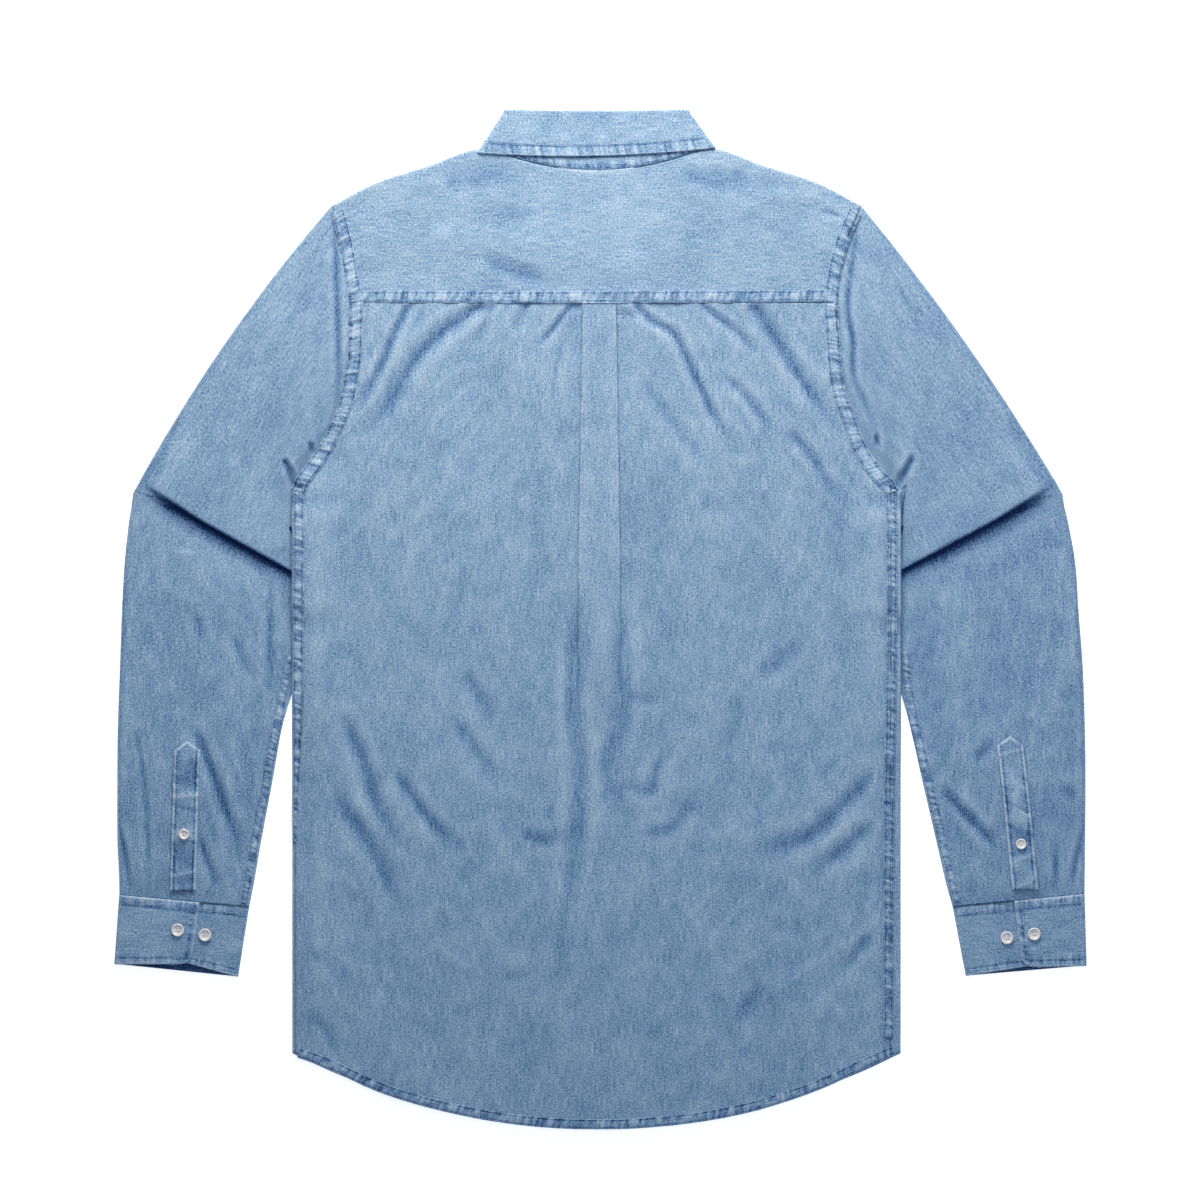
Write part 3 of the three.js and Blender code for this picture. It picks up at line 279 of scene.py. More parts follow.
def cloth(name, grid, material, closed=False, thick=CLOTH, keep=None, weave=None, wear_and_shading=None):
    """One closed shell around a grid of points (rows x columns x 3, in millimetres)."""
    grid = np.asarray(grid, float)
    rows, cols = grid.shape[:2]
    across, up = neighbours(grid, closed)
    normal = np.cross(across, up)
    normal /= np.linalg.norm(normal, axis=2, keepdims=True)
    faces = [grid + normal * thick / 2, grid - normal * thick / 2]
    vertices = np.concatenate([face.reshape(-1, 3) for face in faces])
    cells = cols if closed else cols - 1
    present = np.ones((rows - 1, cells), bool) if keep is None else keep
    if weave is None:
        weave = grid[..., :2]
    if closed:
        step = np.linalg.norm(grid[:, 0] - grid[:, -1], axis=1)[:, None]
        last = weave[:, -1:] + np.stack([step, np.zeros_like(step)], axis=2)
        weave = np.concatenate([weave, last], axis=1)
    i, j = np.nonzero(present)
    right = (j + 1) % cols
    corner = [i * cols + j, i * cols + right, (i + 1) * cols + right, (i + 1) * cols + j]
    places = [weave[i, j], weave[i, j + 1], weave[i + 1, j + 1], weave[i + 1, j]]
    back = rows * cols
    quads = [np.stack(corner, 1), np.stack([c + back for c in corner[::-1]], 1)]
    uvs = [np.stack(places, 1), np.stack(places[::-1], 1)]
    around = np.pad(present, 1)
    if closed:
        around[1:-1, 0], around[1:-1, -1] = present[:, -1], present[:, 0]
    for (di, dj), (a, b) in {(-1, 0): (1, 0), (0, 1): (2, 1), (1, 0): (3, 2), (0, -1): (0, 3)}.items():
        edge = ~around[i + 1 + di, j + 1 + dj]
        first, second = corner[a][edge], corner[b][edge]
        quads.append(np.stack([first, second, second + back, first + back], 1))
        uvs.append(np.stack([places[a][edge], places[b][edge], places[b][edge], places[a][edge]], 1))
    quads, uvs = np.concatenate(quads), np.concatenate(uvs)
    used, quads = np.unique(quads, return_inverse=True)
    quads = quads.reshape(-1, 4)
    mesh = bpy.data.meshes.new(name)
    mesh.from_pydata((vertices[used] * MM).tolist(), [], quads.tolist())
    mesh.polygons.foreach_set("use_smooth", np.ones(len(quads), bool))
    mesh.uv_layers.new(name="weave").uv.foreach_set("vector", (uvs * MM).reshape(-1).astype(np.float32))
    tone = relief(grid) if wear_and_shading is None else wear_and_shading
    attribute = mesh.attributes.new("wear_and_shading", "FLOAT", "POINT")
    attribute.data.foreach_set("value", np.tile(tone.reshape(-1), 2)[used].astype(np.float32))
    mesh.materials.append(material)
    mesh.update()
    piece = bpy.data.objects.new(name, mesh)
    bpy.context.scene.collection.objects.link(piece)
    area = sum(polygon.area for polygon in mesh.polygons) / 2
    print(name, "has", len(quads) * 2, "triangles,", round(area * 1e4), "cm2")
    return piece


# %% [markdown]
# ## Folds
# A fold is a soft trough along a line through a few places in the photograph, with a width and
# a depth and the faintest swell on either side. It fades out at its end, and starts at once
# where it leaves a seam. Its trough also carries painted shade, a darker blue.


# %% Fold tables, in photograph pixels. wide and deep are millimetres.
BACK_FOLDS = [
    # wide, deep, start, line
    (4.6, 1.9, 1, [(409, 305), (394, 334), (380, 368), (364, 397), (353, 418)]),
    (8.5, 2.4, 1, [(481, 305), (452, 325), (428, 345), (408, 371), (392, 400), (372, 424), (346, 445)]),
    (5.5, 1.1, 1, [(492, 306), (484, 326), (474, 349)]),
    (5.0, 1.0, 1, [(526, 305), (518, 322), (511, 336)]),
    (3.2, 1.6, 1, [(571, 305), (555, 326), (544, 339), (533, 350)]),
    (2.2, 0.6, 0, [(563, 335), (557, 362), (554, 380), (554, 408)]),
    (4.0, 1.0, 1, [(620, 305), (631, 315), (641, 318)]),
    (4.6, 1.7, 1, [(636, 305), (653, 322), (672, 332), (686, 356), (696, 378), (707, 401), (724, 432),
                   (750, 466)]),
    (4.5, 1.5, 1, [(704, 305), (720, 319), (733, 328), (748, 343), (764, 362)]),
    (8.0, 2.3, 1, [(754, 306), (776, 338), (796, 371), (814, 397), (831, 417), (851, 446)]),
    (5.5, 1.3, 0, [(718, 370), (747, 397), (770, 429), (786, 448)]),
    (5.5, 1.3, 0, [(786, 426), (808, 452), (825, 478), (838, 500)]),
    (7.5, 1.0, 0, [(643, 376), (661, 408), (687, 440), (715, 478)]),
    (8.5, 1.9, 0, [(581, 560), (578, 650), (574, 705), (579, 766), (575, 849), (561, 952), (561, 1023)]),
    (8.5, 1.6, 0, [(617, 570), (618, 638), (620, 730), (610, 772), (622, 807), (621, 868)]),
    (7.5, 1.7, 0, [(336, 705), (352, 735), (366, 768), (376, 802), (398, 840), (424, 856)]),
    (6.0, 1.7, 0, [(392, 765), (407, 788), (430, 820), (448, 838), (468, 856)]),
    (6.5, 1.2, 0, [(449, 712), (468, 738), (484, 762), (506, 784)]),
    (6.5, 1.0, 0, [(462, 665), (478, 694), (496, 722)]),
    (9.0, 1.6, 0, [(324, 790), (352, 818), (376, 856), (392, 892), (412, 936)]),
    (6.0, 1.0, 0, [(515, 832), (545, 840), (570, 838)]),
    (5.0, 0.9, 0, [(299, 941), (315, 957), (328, 962)]),
    (6.0, 1.0, 0, [(299, 1003), (320, 1026), (347, 1058)]),
    (8.5, 1.6, 0, [(884, 762), (850, 797), (824, 824), (800, 840), (765, 848), (729, 852)]),
    (7.5, 1.2, 0, [(877, 818), (850, 843), (828, 862), (805, 880)]),
    (9.0, 0.7, 0, [(804, 640), (776, 664), (750, 687)]),
    (9.0, 0.7, 0, [(739, 688), (734, 728), (717, 774)]),
    (5.0, 0.8, 0, [(842, 752), (832, 766), (819, 782)]),
    (7.0, 1.0, 0, [(875, 931), (857, 954), (834, 977)]),
    (7.0, 0.9, 0, [(761, 982), (747, 1010), (729, 1023)]),
    (5.0, 1.0, 0, [(612, 783), (633, 788), (650, 792), (657, 770), (668, 752), (686, 735)]),
    (6.0, 0.9, 0, [(640, 833), (668, 830), (684, 818), (687, 802), (686, 783)]),
    (4.5, 0.7, 0, [(620, 698), (645, 700), (672, 701)]),
    (5.0, 0.7, 0, [(501, 977), (520, 977), (536, 972)]),
]
YOKE_FOLDS = [
    (6.5, 2.2, 0, [(480, 254), (512, 270), (553, 282)]),
    (9.0, 1.2, 0, [(468, 208), (508, 216), (547, 214)]),
    (9.0, 2.2, 0, [(678, 170), (704, 180), (738, 182), (760, 186)]),
    (9.0, 2.2, 0, [(440, 186), (462, 181), (490, 176), (520, 184)]),
    (3.5, 0.9, 0, [(841, 216), (830, 214), (818, 210)]),
]
SLEEVE_FOLDS = {
    -1: [
        (5.0, 1.0, 0, [(197, 613), (200, 630), (203, 648)]),
        (5.0, 1.2, 0, [(234, 635), (244, 661), (253, 685)]),
        (5.5, 2.2, 0, [(190, 720), (203, 748), (217, 785), (229, 820), (237, 844), (241, 871)]),
        (4.5, 1.5, 0, [(199, 832), (213, 875), (227, 897)]),
        (2.4, 1.0, 0, [(132, 720), (143, 772), (147, 823), (149, 897)]),
        (3.0, 1.6, 0, [(118, 816), (124, 850), (131, 897)]),
        (3.0, 1.8, 0, [(332, 206), (336, 262), (337, 302), (338, 343), (337, 390), (329, 425)]),
        (2.6, 1.2, 0, [(269, 570), (270, 630), (269, 700)]),
        (3.2, 2.8, 1, [(285, 462), (289, 470), (293, 480), (294.5, 492)]),
        (2.6, 2.2, 1, [(310, 444), (312, 454)]),
    ],
    1: [
        (5.0, 2.2, 0, [(940, 787), (953, 800), (977, 826), (992, 842), (1001, 855)]),
        (6.0, 1.2, 0, [(973, 761), (985, 750), (995, 737)]),
        (4.0, 0.9, 0, [(1060, 788), (1068, 791), (1079, 802)]),
        (3.0, 1.4, 0, [(1056, 850), (1056, 874), (1055, 897)]),
        (3.0, 1.4, 0, [(1085, 820), (1078, 852), (1070, 897)]),
        (3.0, 1.8, 0, [(858, 214), (857, 235), (851, 273), (848, 309), (853, 338), (855, 380),
                       (865, 403), (881, 449)]),
        (3.2, 2.8, 1, [(912, 459), (907, 469), (901, 478), (898, 490)]),
        (2.6, 2.2, 1, [(877, 436), (878, 447)]),
        (1.8, 1.5, 1, [(906, 486), (904, 500), (901, 520), (900, 545)]),
    ],
}


def folded(folds, x, y):
    """What a table of folds adds to the height at the points (x, y), and the painted shade of their troughs.
    """
    height = np.zeros_like(x)
    fold_shade = np.zeros_like(x)
    for wide, deep, start, line in folds:
        path = drawn_line(from_photo(line), 9)
        lower, upper = path.min(0) - 5 * wide, path.max(0) + 5 * wide
        near = (x > lower[0]) & (x < upper[0]) & (y > lower[1]) & (y < upper[1])
        px, py = x[near], y[near]
        best = np.full(px.shape, 1e9)
        place = np.zeros_like(px)
        for k, (a, b) in enumerate(zip(path[:-1], path[1:])):
            d = b - a
            length = np.hypot(*d)
            t = np.clip(((px - a[0]) * d[0] + (py - a[1]) * d[1]) / length ** 2, 0, 1)
            off_x, off_y = px - a[0] - t * d[0], py - a[1] - t * d[1]
            far = np.hypot(off_x, off_y)
            closer = far < best
            best = np.where(closer, far, best)
            place = np.where(closer, (k + t) / (len(path) - 1), place)
        fade = (1.0 if start else smooth(-0.02, 0.25, place)) * (1 - smooth(0.55, 1.02, place))
        off = best / (wide * lerp(0.7, 1.0, place))
        height[near] -= fade * deep * (np.exp(-off ** 1.7) - 0.22 * np.exp(-((off - 2.0) / 0.8) ** 2))
        # painted shade: the trough of each fold is darker in colour
        fold_shade[near] += fade * deep * np.exp(-(1.15 * off) ** 1.4)
    return height, fold_shade


print(len(BACK_FOLDS), "folds on the back,", len(YOKE_FOLDS), "on the yoke")

# %% [markdown]
# ## The body
# The two fronts lie flat on the table. At each side they roll over the edge onto the back, up
# to the side seam. The back panel lies on the fronts, raised a little by the air between them.

# %% Outline of the body
ARMHOLE_Y = [362.2, 337.8, 312.4, 291.4, 277.0, 241.5, 214.4, 188.0, 164.5, 148.8, 127.0, UNDERARM]
ARMHOLE = {
    -1: [234.9, 228.8, 223.6, 220.1, 217.4, 218.3, 220.9, 226.2, 235.8, 244.6, 257.7, EDGE[-1] - SEAM_INSET],
    1: [227.8, 218.5, 211.2, 207.3, 206.1, 207.8, 210.4, 216.4, 225.1, 232.8, 247.8, EDGE[1] - SEAM_INSET],
}
SHOULDER = ([60, NECK_HALF, 101, 145, 198, 231], [411.5, 410, 411.4, 397.6, 379.8, 362.2])


def armhole(y, side):
    """Distance of the armhole seam from the middle line."""
    return through(ARMHOLE_Y, ARMHOLE[side], y)


def hem_line(x):
    return -HALF_LENGTH + HEM_RISE * ((x - CENTRE) / (EDGE[-1] + CENTRE)) ** 2


def seam_inset(y, side):
    """How far the side seam lies in from the side fold. On the left it nears the fold low down."""
    return lerp(SEAM_INSET, 2.6, smooth(-70, -190, y)) if side < 0 else SEAM_INSET + 0 * np.asarray(y, float)


def side_lift(x, y):
    """The body is lifted where a sleeve lies under its side fold."""
    edge = np.where(x < 0, EDGE[-1], EDGE[1])
    near = smooth(edge - 62, edge - 11, np.abs(x))
    single = smooth(-170, -64, y) * (1 - smooth(112, 146, y))
    creased = smooth(-6, 14, y) * (1 - smooth(88, 108, y))
    return near * (4.6 * single + 2.0 * creased)


def front_lift(x, y):
    """The fronts ride on the collar points and on the buttons."""
    out = np.abs(x - CENTRE)
    neck = NECK_LIFT * smooth(262, 296, y) * (1 - smooth(112, 142, out))
    buttons = (BUTTON_THICK + LAP) * (1 - smooth(PLACKET_HALF + 2, PLACKET_HALF + 22, out))
    return np.maximum(neck, buttons)


def clear_of_fronts(x, y):
    """Lowest middle of a panel that clears the fronts, which lie double along the buttons."""
    double = 1.4 * (1 - smooth(PLACKET_HALF + 4, PLACKET_HALF + 30, np.abs(x - CENTRE)))
    return FLOOR + front_lift(x, y) + double + 1.5


def gathers(x, y):
    """Short puckers under the yoke seam and beside the armholes, where the back is eased in."""
    below = np.clip(YOKE_SEAM - y, 0, 200)
    waves = ripple(x, y * 0 + 3, (4.6, 40), 11) + 0.8 * ripple(x, y * 0 + 9, (10, 40), 12)
    above = np.maximum(y, UNDERARM)
    inside = np.minimum(np.abs(x + armhole(above, -1)), np.abs(x - armhole(above, 1)))
    beside = ripple(y, x * 0 + 5, (4.2, 40), 13) * np.exp(-np.clip(inside - 9, 0, 90) / 6)
    return 0.7 * waves * np.exp(-below / 12) + 0.45 * beside * smooth(UNDERARM - 20, UNDERARM + 10, y)


def creasing(x, y, lean, across, along, seed):
    """Thin raised creases that run mostly one way. lean is how far they go sideways for each mm up."""
    noise = ripple((x - lean * y) / math.hypot(1, lean), y + lean * x, (across, along), seed)
    return (1 - np.abs(noise) * 2.4).clip(0, 1) ** 2


def soft_waves(x, y):
    """The uneven lie of the cloth away from the folds."""
    out = x - CENTRE
    fan = smooth(20, 90, y) * smooth(40, 120, np.abs(out))
    fans = np.where(out < 0, creasing(x, y, 0.95, 17, 85, 4), creasing(x, y, -0.95, 17, 85, 5))
    low = (1 - smooth(-150, -60, y)) * smooth(30, 90, np.abs(out))
    lows = np.where(out < 0, creasing(x, y, -0.6, 20, 60, 6), creasing(x, y, 1.4, 20, 60, 7))
    broad = 0.75 * ripple(x + 0.35 * y, y, (46, 120), 1) + 0.45 * ripple(x, y, (26, 60), 2)
    fine = 0.26 * ripple(x - 0.2 * y, y, (12, 24), 3) + 0.14 * ripple(x + 0.3 * y, y, (6.5, 11), 8)
    return broad + fine + 0.55 * fan * fans + 0.6 * low * lows + 0.22 * creasing(x, y, 0.1, 13, 60, 9)


def higher(a, b, blend=0.5):
    """The higher of two heights, with a soft change from one to the other."""
    return np.maximum(a, b) + blend / 4 * np.clip(1 - np.abs(a - b) / blend, 0, 1) ** 2


def back_height(x, y):
    """Height of the back panel, and the painted shade of its folds."""
    out = np.abs(x - CENTRE)
    rest = BACK_REST + 0.8 * (1 - smooth(180, 262, out)) + BUTTON_THICK * (1 - smooth(20, 60, out))
    calm = smooth(0, 16, np.where(x < 0, EDGE[-1], EDGE[1]) - SEAM_INSET - np.abs(x))
    fold, fold_shade = folded(BACK_FOLDS, x, y)
    fold *= smooth(-1.5, 6, YOKE_SEAM - y)
    height = rest + 0.6 + calm * (fold + soft_waves(x, y)) + gathers(x, y) - 0.6 * (1 - calm)
    return higher(height, clear_of_fronts(x, y)) + 1.06 * side_lift(x, y), fold_shade * calm


print("armhole at the yoke seam", armhole(YOKE_SEAM, -1), armhole(YOKE_SEAM, 1))


# %% [markdown]
# The back panel is one grid: its rows run from the hem up to the yoke seam and its columns run
# across the cloth. Where the box pleat is folded, the columns go in under the pleat, back to
# its fold and out over the top, so the pleat is three real layers. Lower down it opens.

# %% Back panel
PLEAT_TOP = (-15.5, 13.5)   # its two folds at the yoke seam
PLEAT_LOW = (-20.0, 18.0)   # the same folds at the height of the origin
PLEAT_OPEN = 60             # above this height it is folded
PLEAT_FLAT = -60            # below this height it lies open
PLEAT_DEPTH = 12
PLEAT_STEP = 1.45           # each of its layers lies this much higher


def pleat_path(points_in_bend=5):
    """Half of the pleat from the panel to its top: place when folded, when open, and level."""
    bend = [math.radians(angle) for angle in np.linspace(-90, 90, points_in_bend)]
    inner = [(PLEAT_DEPTH - 0.7 + 0.7 * math.cos(a), 0.5 + 0.5 * math.sin(a)) for a in bend]
    outer = [(0.7 - 0.7 * math.cos(a), 1.5 + 0.5 * math.sin(a)) for a in bend]
    path = inner + [(PLEAT_DEPTH * 0.5, 1.0)] + outer
    spread = np.linspace(-7, 4, len(path))
    return [(place, opened, level) for (place, level), opened in zip(path, spread)]


def back_panel():
    half = 88
    low = np.concatenate([np.linspace(0, 0.6, 74), np.linspace(0.6, 1, 54)[1:]])
    high = lerp(UNDERARM, YOKE_SEAM - SEAM, 1 - (1 - np.linspace(0, 1, 66)[1:]) ** 1.25)
    columns = []
    edge_y = np.concatenate([np.full(len(low), float(UNDERARM)), high])
    left, right = -armhole(edge_y, -1), armhole(edge_y, 1)
    middle_y = np.concatenate([lerp(hem_line(CENTRE), UNDERARM, low), high])
    up_side = np.concatenate([low, np.ones(len(high))])
    side_y = np.where(edge_y > UNDERARM, UNDERARM, lerp(hem_line(-EDGE[-1]), UNDERARM, up_side))
    left = np.where(edge_y > UNDERARM, left, seam_inset(side_y, -1) - EDGE[-1])
    down = np.clip((YOKE_SEAM - middle_y) / YOKE_SEAM, 0, 1)
    fold_left, fold_right = lerp(PLEAT_TOP[0], PLEAT_LOW[0], down), lerp(PLEAT_TOP[1], PLEAT_LOW[1], down)
    folding = smooth(PLEAT_FLAT, PLEAT_OPEN, middle_y)
    raised = smooth(PLEAT_FLAT - 50, PLEAT_FLAT + 20, middle_y) * PLEAT_STEP
    path = pleat_path()
    for k in range(half + 1):
        columns.append((lerp(left, fold_left - 10, k / half), 0 * raised))
    for place, opened, level in path:
        columns.append((fold_left + lerp(opened, place, folding), level * raised))
    for share in np.linspace(0.2, 0.8, 9):
        columns.append((lerp(fold_left, fold_right, share), 2 * raised))
    for place, opened, level in path[::-1]:
        columns.append((fold_right - lerp(opened, place, folding), level * raised))
    for k in range(half, -1, -1):
        columns.append((lerp(right, fold_right + 10, k / half), 0 * raised))
    x = np.stack([c[0] for c in columns], 1)
    extra = np.stack([c[1] for c in columns], 1)
    y = np.empty_like(x)
    y[:len(low)] = lerp(hem_line(x[:len(low)]), UNDERARM, low[:, None])
    y[len(low):] = high[:, None]
    z, fold_shade = back_height(x, y)
    beyond_fold = np.minimum(np.abs(x - fold_left[:, None]), np.abs(x - fold_right[:, None]))
    outside = (x < fold_left[:, None]) | (x > fold_right[:, None])
    # painted shadow: a thin dark line in the cloth just outside each fold of the pleat
    fold_shade += 4.2 * np.exp(-beyond_fold / 1.1) * outside * folding[:, None]
    grid = np.stack([x, y, z + extra], 2)
    return cloth("back_panel_cloth", grid, DENIM, wear_and_shading=panel_wear_and_shading(grid, fold_shade))


back_piece = back_panel()


# %% [markdown]
# A front is flat where it lies and comes round the side fold to the side seam. Only that strip
# shows from above, so the flat stretch has few columns and the roll has many.

# %% Fronts
def front_neck(out):
    return FRONT_NECK + (BACK_NECK - FRONT_NECK - 2) * (np.asarray(out, float) / NECK_HALF) ** 2.2


def front_seam(out):
    return lerp(363, FRONT_SEAM_END, (out - NECK_CORNER) / 174)


def front(name, side):
    edge = EDGE[side]
    low, high = np.linspace(0, 1, 120), np.linspace(0, 1, 50)[1:]
    radius = (BACK_REST - FLOOR) / 2
    turns = np.radians(np.linspace(0, 180, 13))
    flat = 34
    shares = 1 - (1 - np.linspace(0, 1, flat)) ** 1.15
    grid = []
    for t, below in [(t, True) for t in low] + [(t, False) for t in high]:
        side_y = UNDERARM if below else lerp(UNDERARM, FRONT_SEAM_END, t)
        limit = edge - 3 if below else min(edge - 3, armhole(side_y, side))
        x = lerp(CENTRE - side * PLACKET_HALF, side * limit, shares)
        z = np.full(flat, FLOOR)
        over = side * (edge - CLOTH / 2 - radius + radius * np.sin(turns))
        here = lerp(hem_line(side * edge), UNDERARM, t) if below else UNDERARM
        strip = lerp(edge - 2.0, edge - float(seam_inset(here, side)) + SEAM, np.array([0.35, 0.68, 1.0]))
        x = np.concatenate([x, over, side * strip])
        z = np.concatenate([z, FLOOR + radius * (1 - np.cos(turns)), np.full(3, BACK_REST)])
        out = np.abs(x - CENTRE)
        if below:
            y = lerp(hem_line(x) + FRONT_SHORTER * (1 - smooth(170, 258, out)), UNDERARM, t)
        else:
            y = lerp(UNDERARM, np.where(out < NECK_CORNER, front_neck(out), front_seam(out)) - SEAM, t)
        double = 0 if side < 0 else 1.4 * (1 - smooth(PLACKET_HALF + 4, PLACKET_HALF + 28, out))
        z = z + side_lift(x, y) + np.where(np.arange(len(x)) < flat, front_lift(x, y) + double, 0)
        grid.append(np.stack([x, y, z], 1))
    grid = np.array(grid)
    keep = np.ones((len(grid) - 1, grid.shape[1] - 1), bool)
    keep[len(low) - 1:, flat - 1:] = False
    return cloth(name, grid, DENIM, keep=keep)


front_pieces = [front("front_left_cloth", -1), front("front_right_cloth", 1)]


# %% [markdown]
# The yoke covers the shoulders in one piece: from the seam across the back, over the shoulder
# folds, and down to its seam with the fronts. Between the shoulders it stops at the neck seam.
# It is cut crosswise, so its threads and streaks run from shoulder to shoulder.

# %% Yoke
def yoke():
    side_cols, neck_cols = 60, 62
    inward, outward = np.linspace(0, 1, side_cols + 1), np.linspace(1, 0, side_cols + 1)
    share = np.concatenate([inward, np.zeros(neck_cols - 1), outward])
    part = np.concatenate([np.full(side_cols + 1, -1), np.zeros(neck_cols - 1), np.full(side_cols + 1, 1)])
    inside = np.arange(1, neck_cols) / neck_cols
    crest = lambda out: through(*SHOULDER, np.maximum(out, 60.0))
    radius_at = lambda out: (lerp(4.3, BACK_REST + 0.3, smooth(NECK_HALF, 230, out)) - FLOOR) / 2
    neck_seam = lambda out: BACK_NECK - NECK_DROP * (1 - (out / NECK_HALF) ** 2)

    def place(left, right, neck):
        x = np.where(part < 0, lerp(left, CENTRE - neck, share), lerp(right, CENTRE + neck, share))
        x[part == 0] = lerp(CENTRE - neck, CENTRE + neck, inside)
        return x

    start, top = YOKE_SEAM + SEAM / 2, ARMHOLE_Y[0]
    rows, fold_shades = [], []
    flat_rows = np.linspace(0, 1, 78) ** 1.08
    for t in flat_rows:
        edge_y = lerp(start, top, t)
        x = place(-armhole(edge_y, -1), armhole(edge_y, 1), NECK_HALF)
        out = np.abs(x - CENTRE)
        shoulder = crest(out) - radius_at(out) - CLOTH / 2
        y = lerp(start, np.where(out < NECK_HALF - 1e-6, neck_seam(out), shoulder), t)
        pleat = 3.0 * (1 - smooth(10, 120, out)) * (1 - smooth(280, 420, y))
        calm = smooth(0, 14, y - start) * smooth(0, 0.12, 1 - t)
        fold, fold_shade = folded(YOKE_FOLDS, x, y)
        waves = fold + 0.9 * ripple(x, y, (60, 26), 5) + 0.4 * ripple(x, y, (24, 11), 6)
        fold_shades.append(fold_shade)
        near_arm = np.minimum(np.abs(x + armhole(edge_y, -1)), np.abs(x - armhole(edge_y, 1)))
        pucker = 0.85 * ripple(y + 0.5 * out, x * 0 + 5, (3.6, 30), 8) * np.exp(-near_arm / 14)
        over_seam = 0.3 * ripple(x, x * 0 + 7, (2.3, 30), 18) * np.exp(-np.abs(y - start - 9) / 3)
        z = FLOOR + 2 * radius_at(out) + pleat + calm * waves + pucker * smooth(0, 0.12, 1 - t) + over_seam
        rows.append(np.stack([x, y, higher(z, clear_of_fronts(x, y), 1.5)], 1))
    x = place(-armhole(top, -1), armhole(top, 1), NECK_HALF)
    out = np.abs(x - CENTRE)
    radius = radius_at(out)
    for angle in np.linspace(0, 180, 11)[1:]:
        turn = math.radians(angle)
        lift = front_lift(x, crest(out)) * (angle / 180)
        y = crest(out) - radius - CLOTH / 2 + radius * math.sin(turn)
        rows.append(np.stack([x, y, FLOOR + radius * (1 + math.cos(turn)) + lift], 1))
    for t in np.linspace(0, 1, 12)[1:]:
        edge_y = lerp(top, FRONT_SEAM_END, t)
        neck_y = lerp(BACK_NECK - 2, float(front_neck(NECK_CORNER)), t)
        neck = NECK_HALF * ((neck_y - FRONT_NECK) / (BACK_NECK - FRONT_NECK - 2)) ** (1 / 2.2)
        new_x = place(-armhole(edge_y, -1), armhole(edge_y, 1), neck)
        new_out = np.abs(new_x - CENTRE)
        y = lerp(crest(out) - radius - CLOTH / 2, front_seam(new_out), t)
        rows.append(np.stack([new_x, y, FLOOR + front_lift(new_x, y)], 1))
    grid = np.array(rows)
    keep = np.ones((len(grid) - 1, grid.shape[1] - 1), bool)
    keep[len(flat_rows) - 1:, side_cols:side_cols + neck_cols] = False
    fold_shades = np.concatenate([fold_shades, np.zeros((len(grid) - len(fold_shades), grid.shape[1]))])
    weave = grid[..., [1, 0]] + 900
    return cloth("back_yoke_cloth", grid, DENIM, keep=keep, weave=weave, wear_and_shading=panel_wear_and_shading(grid, fold_shades))


yoke_piece = yoke()

# %% [markdown]
# ## The sleeves
# A sleeve is a tube that has been pressed flat, so each row of its grid is a closed ring: the
# upper layer, the roll at the inner edge, the lower layer, and the roll at the outer edge.
# At the elbow the upper layer laps over the forearm: it goes back under itself and comes out
# again, a path like the letter S. That fold makes the darkest line of the whole shirt.

# %% Sleeve tables
FOREARM = {
    # outX, outY, inX, inY, top, puff from the elbow to the cuff
    -1: np.array([
        (410.5, 100.0, 266.0, 22.0, 2.6, 0.4), (413.6, 80.0, 263.0, 4.0, 2.6, 1.6),
        (416.9, 47.2, 262.0, -20.0, 2.6, 2.6), (419.2, 5.0, 263.0, -44.0, 2.6, 2.8),
        (420.8, -42.0, 270.5, -66.0, 2.8, 3.0), (422.6, -92.0, 279.0, -96.0, 3.2, 3.2),
        (423.1, -140.0, 287.2, -142.0, 3.6, 3.4), (423.0, -192.0, 297.0, -194.0, 4.0, 2.6),
        (421.6, -222.0, 303.0, -229.0, 4.2, 1.8), (421.2, -241.8, 307.6, -252.2, 4.2, 0.2)]),
    1: np.array([
        (406.0, 100.0, 259.5, 24.0, 2.6, 0.4), (410.6, 80.0, 256.5, 6.0, 2.6, 1.6),
        (416.1, 47.2, 255.0, -18.0, 2.6, 2.6), (418.9, 5.0, 256.0, -44.0, 2.6, 2.8),
        (422.4, -42.0, 263.5, -66.0, 2.8, 3.0), (424.2, -92.0, 271.6, -96.0, 3.2, 3.2),
        (424.8, -140.0, 281.9, -142.0, 3.6, 3.4), (424.4, -192.0, 294.0, -194.0, 4.0, 2.6),
        (424.1, -222.0, 302.0, -229.0, 4.2, 1.8), (423.9, -240.9, 308.4, -252.2, 4.2, 0.2)]),
}
ELBOW = {-1: (405.6, 117.2, 262.0, 37.0, 8), 1: (401.2, 116.0, 255.5, 38.5, 6)}
ELBOW_HEIGHT = 9.2          # top of the layer that laps over the forearm
ELBOW_DEPTH = 34            # how far the cloth goes back under the lap
ELBOW_RETURN = 4.1          # height of the layer that goes back
ELBOW_UNDER = 2.0           # height of the layer that comes out again
TOP_POINTS = 66             # points of a ring on its upper layer
LOW_POINTS = 22             # and on its lower layer
FOREARM_RINGS = 122
RINGS_BETWEEN = 7           # rings between the elbow fold and the forearm


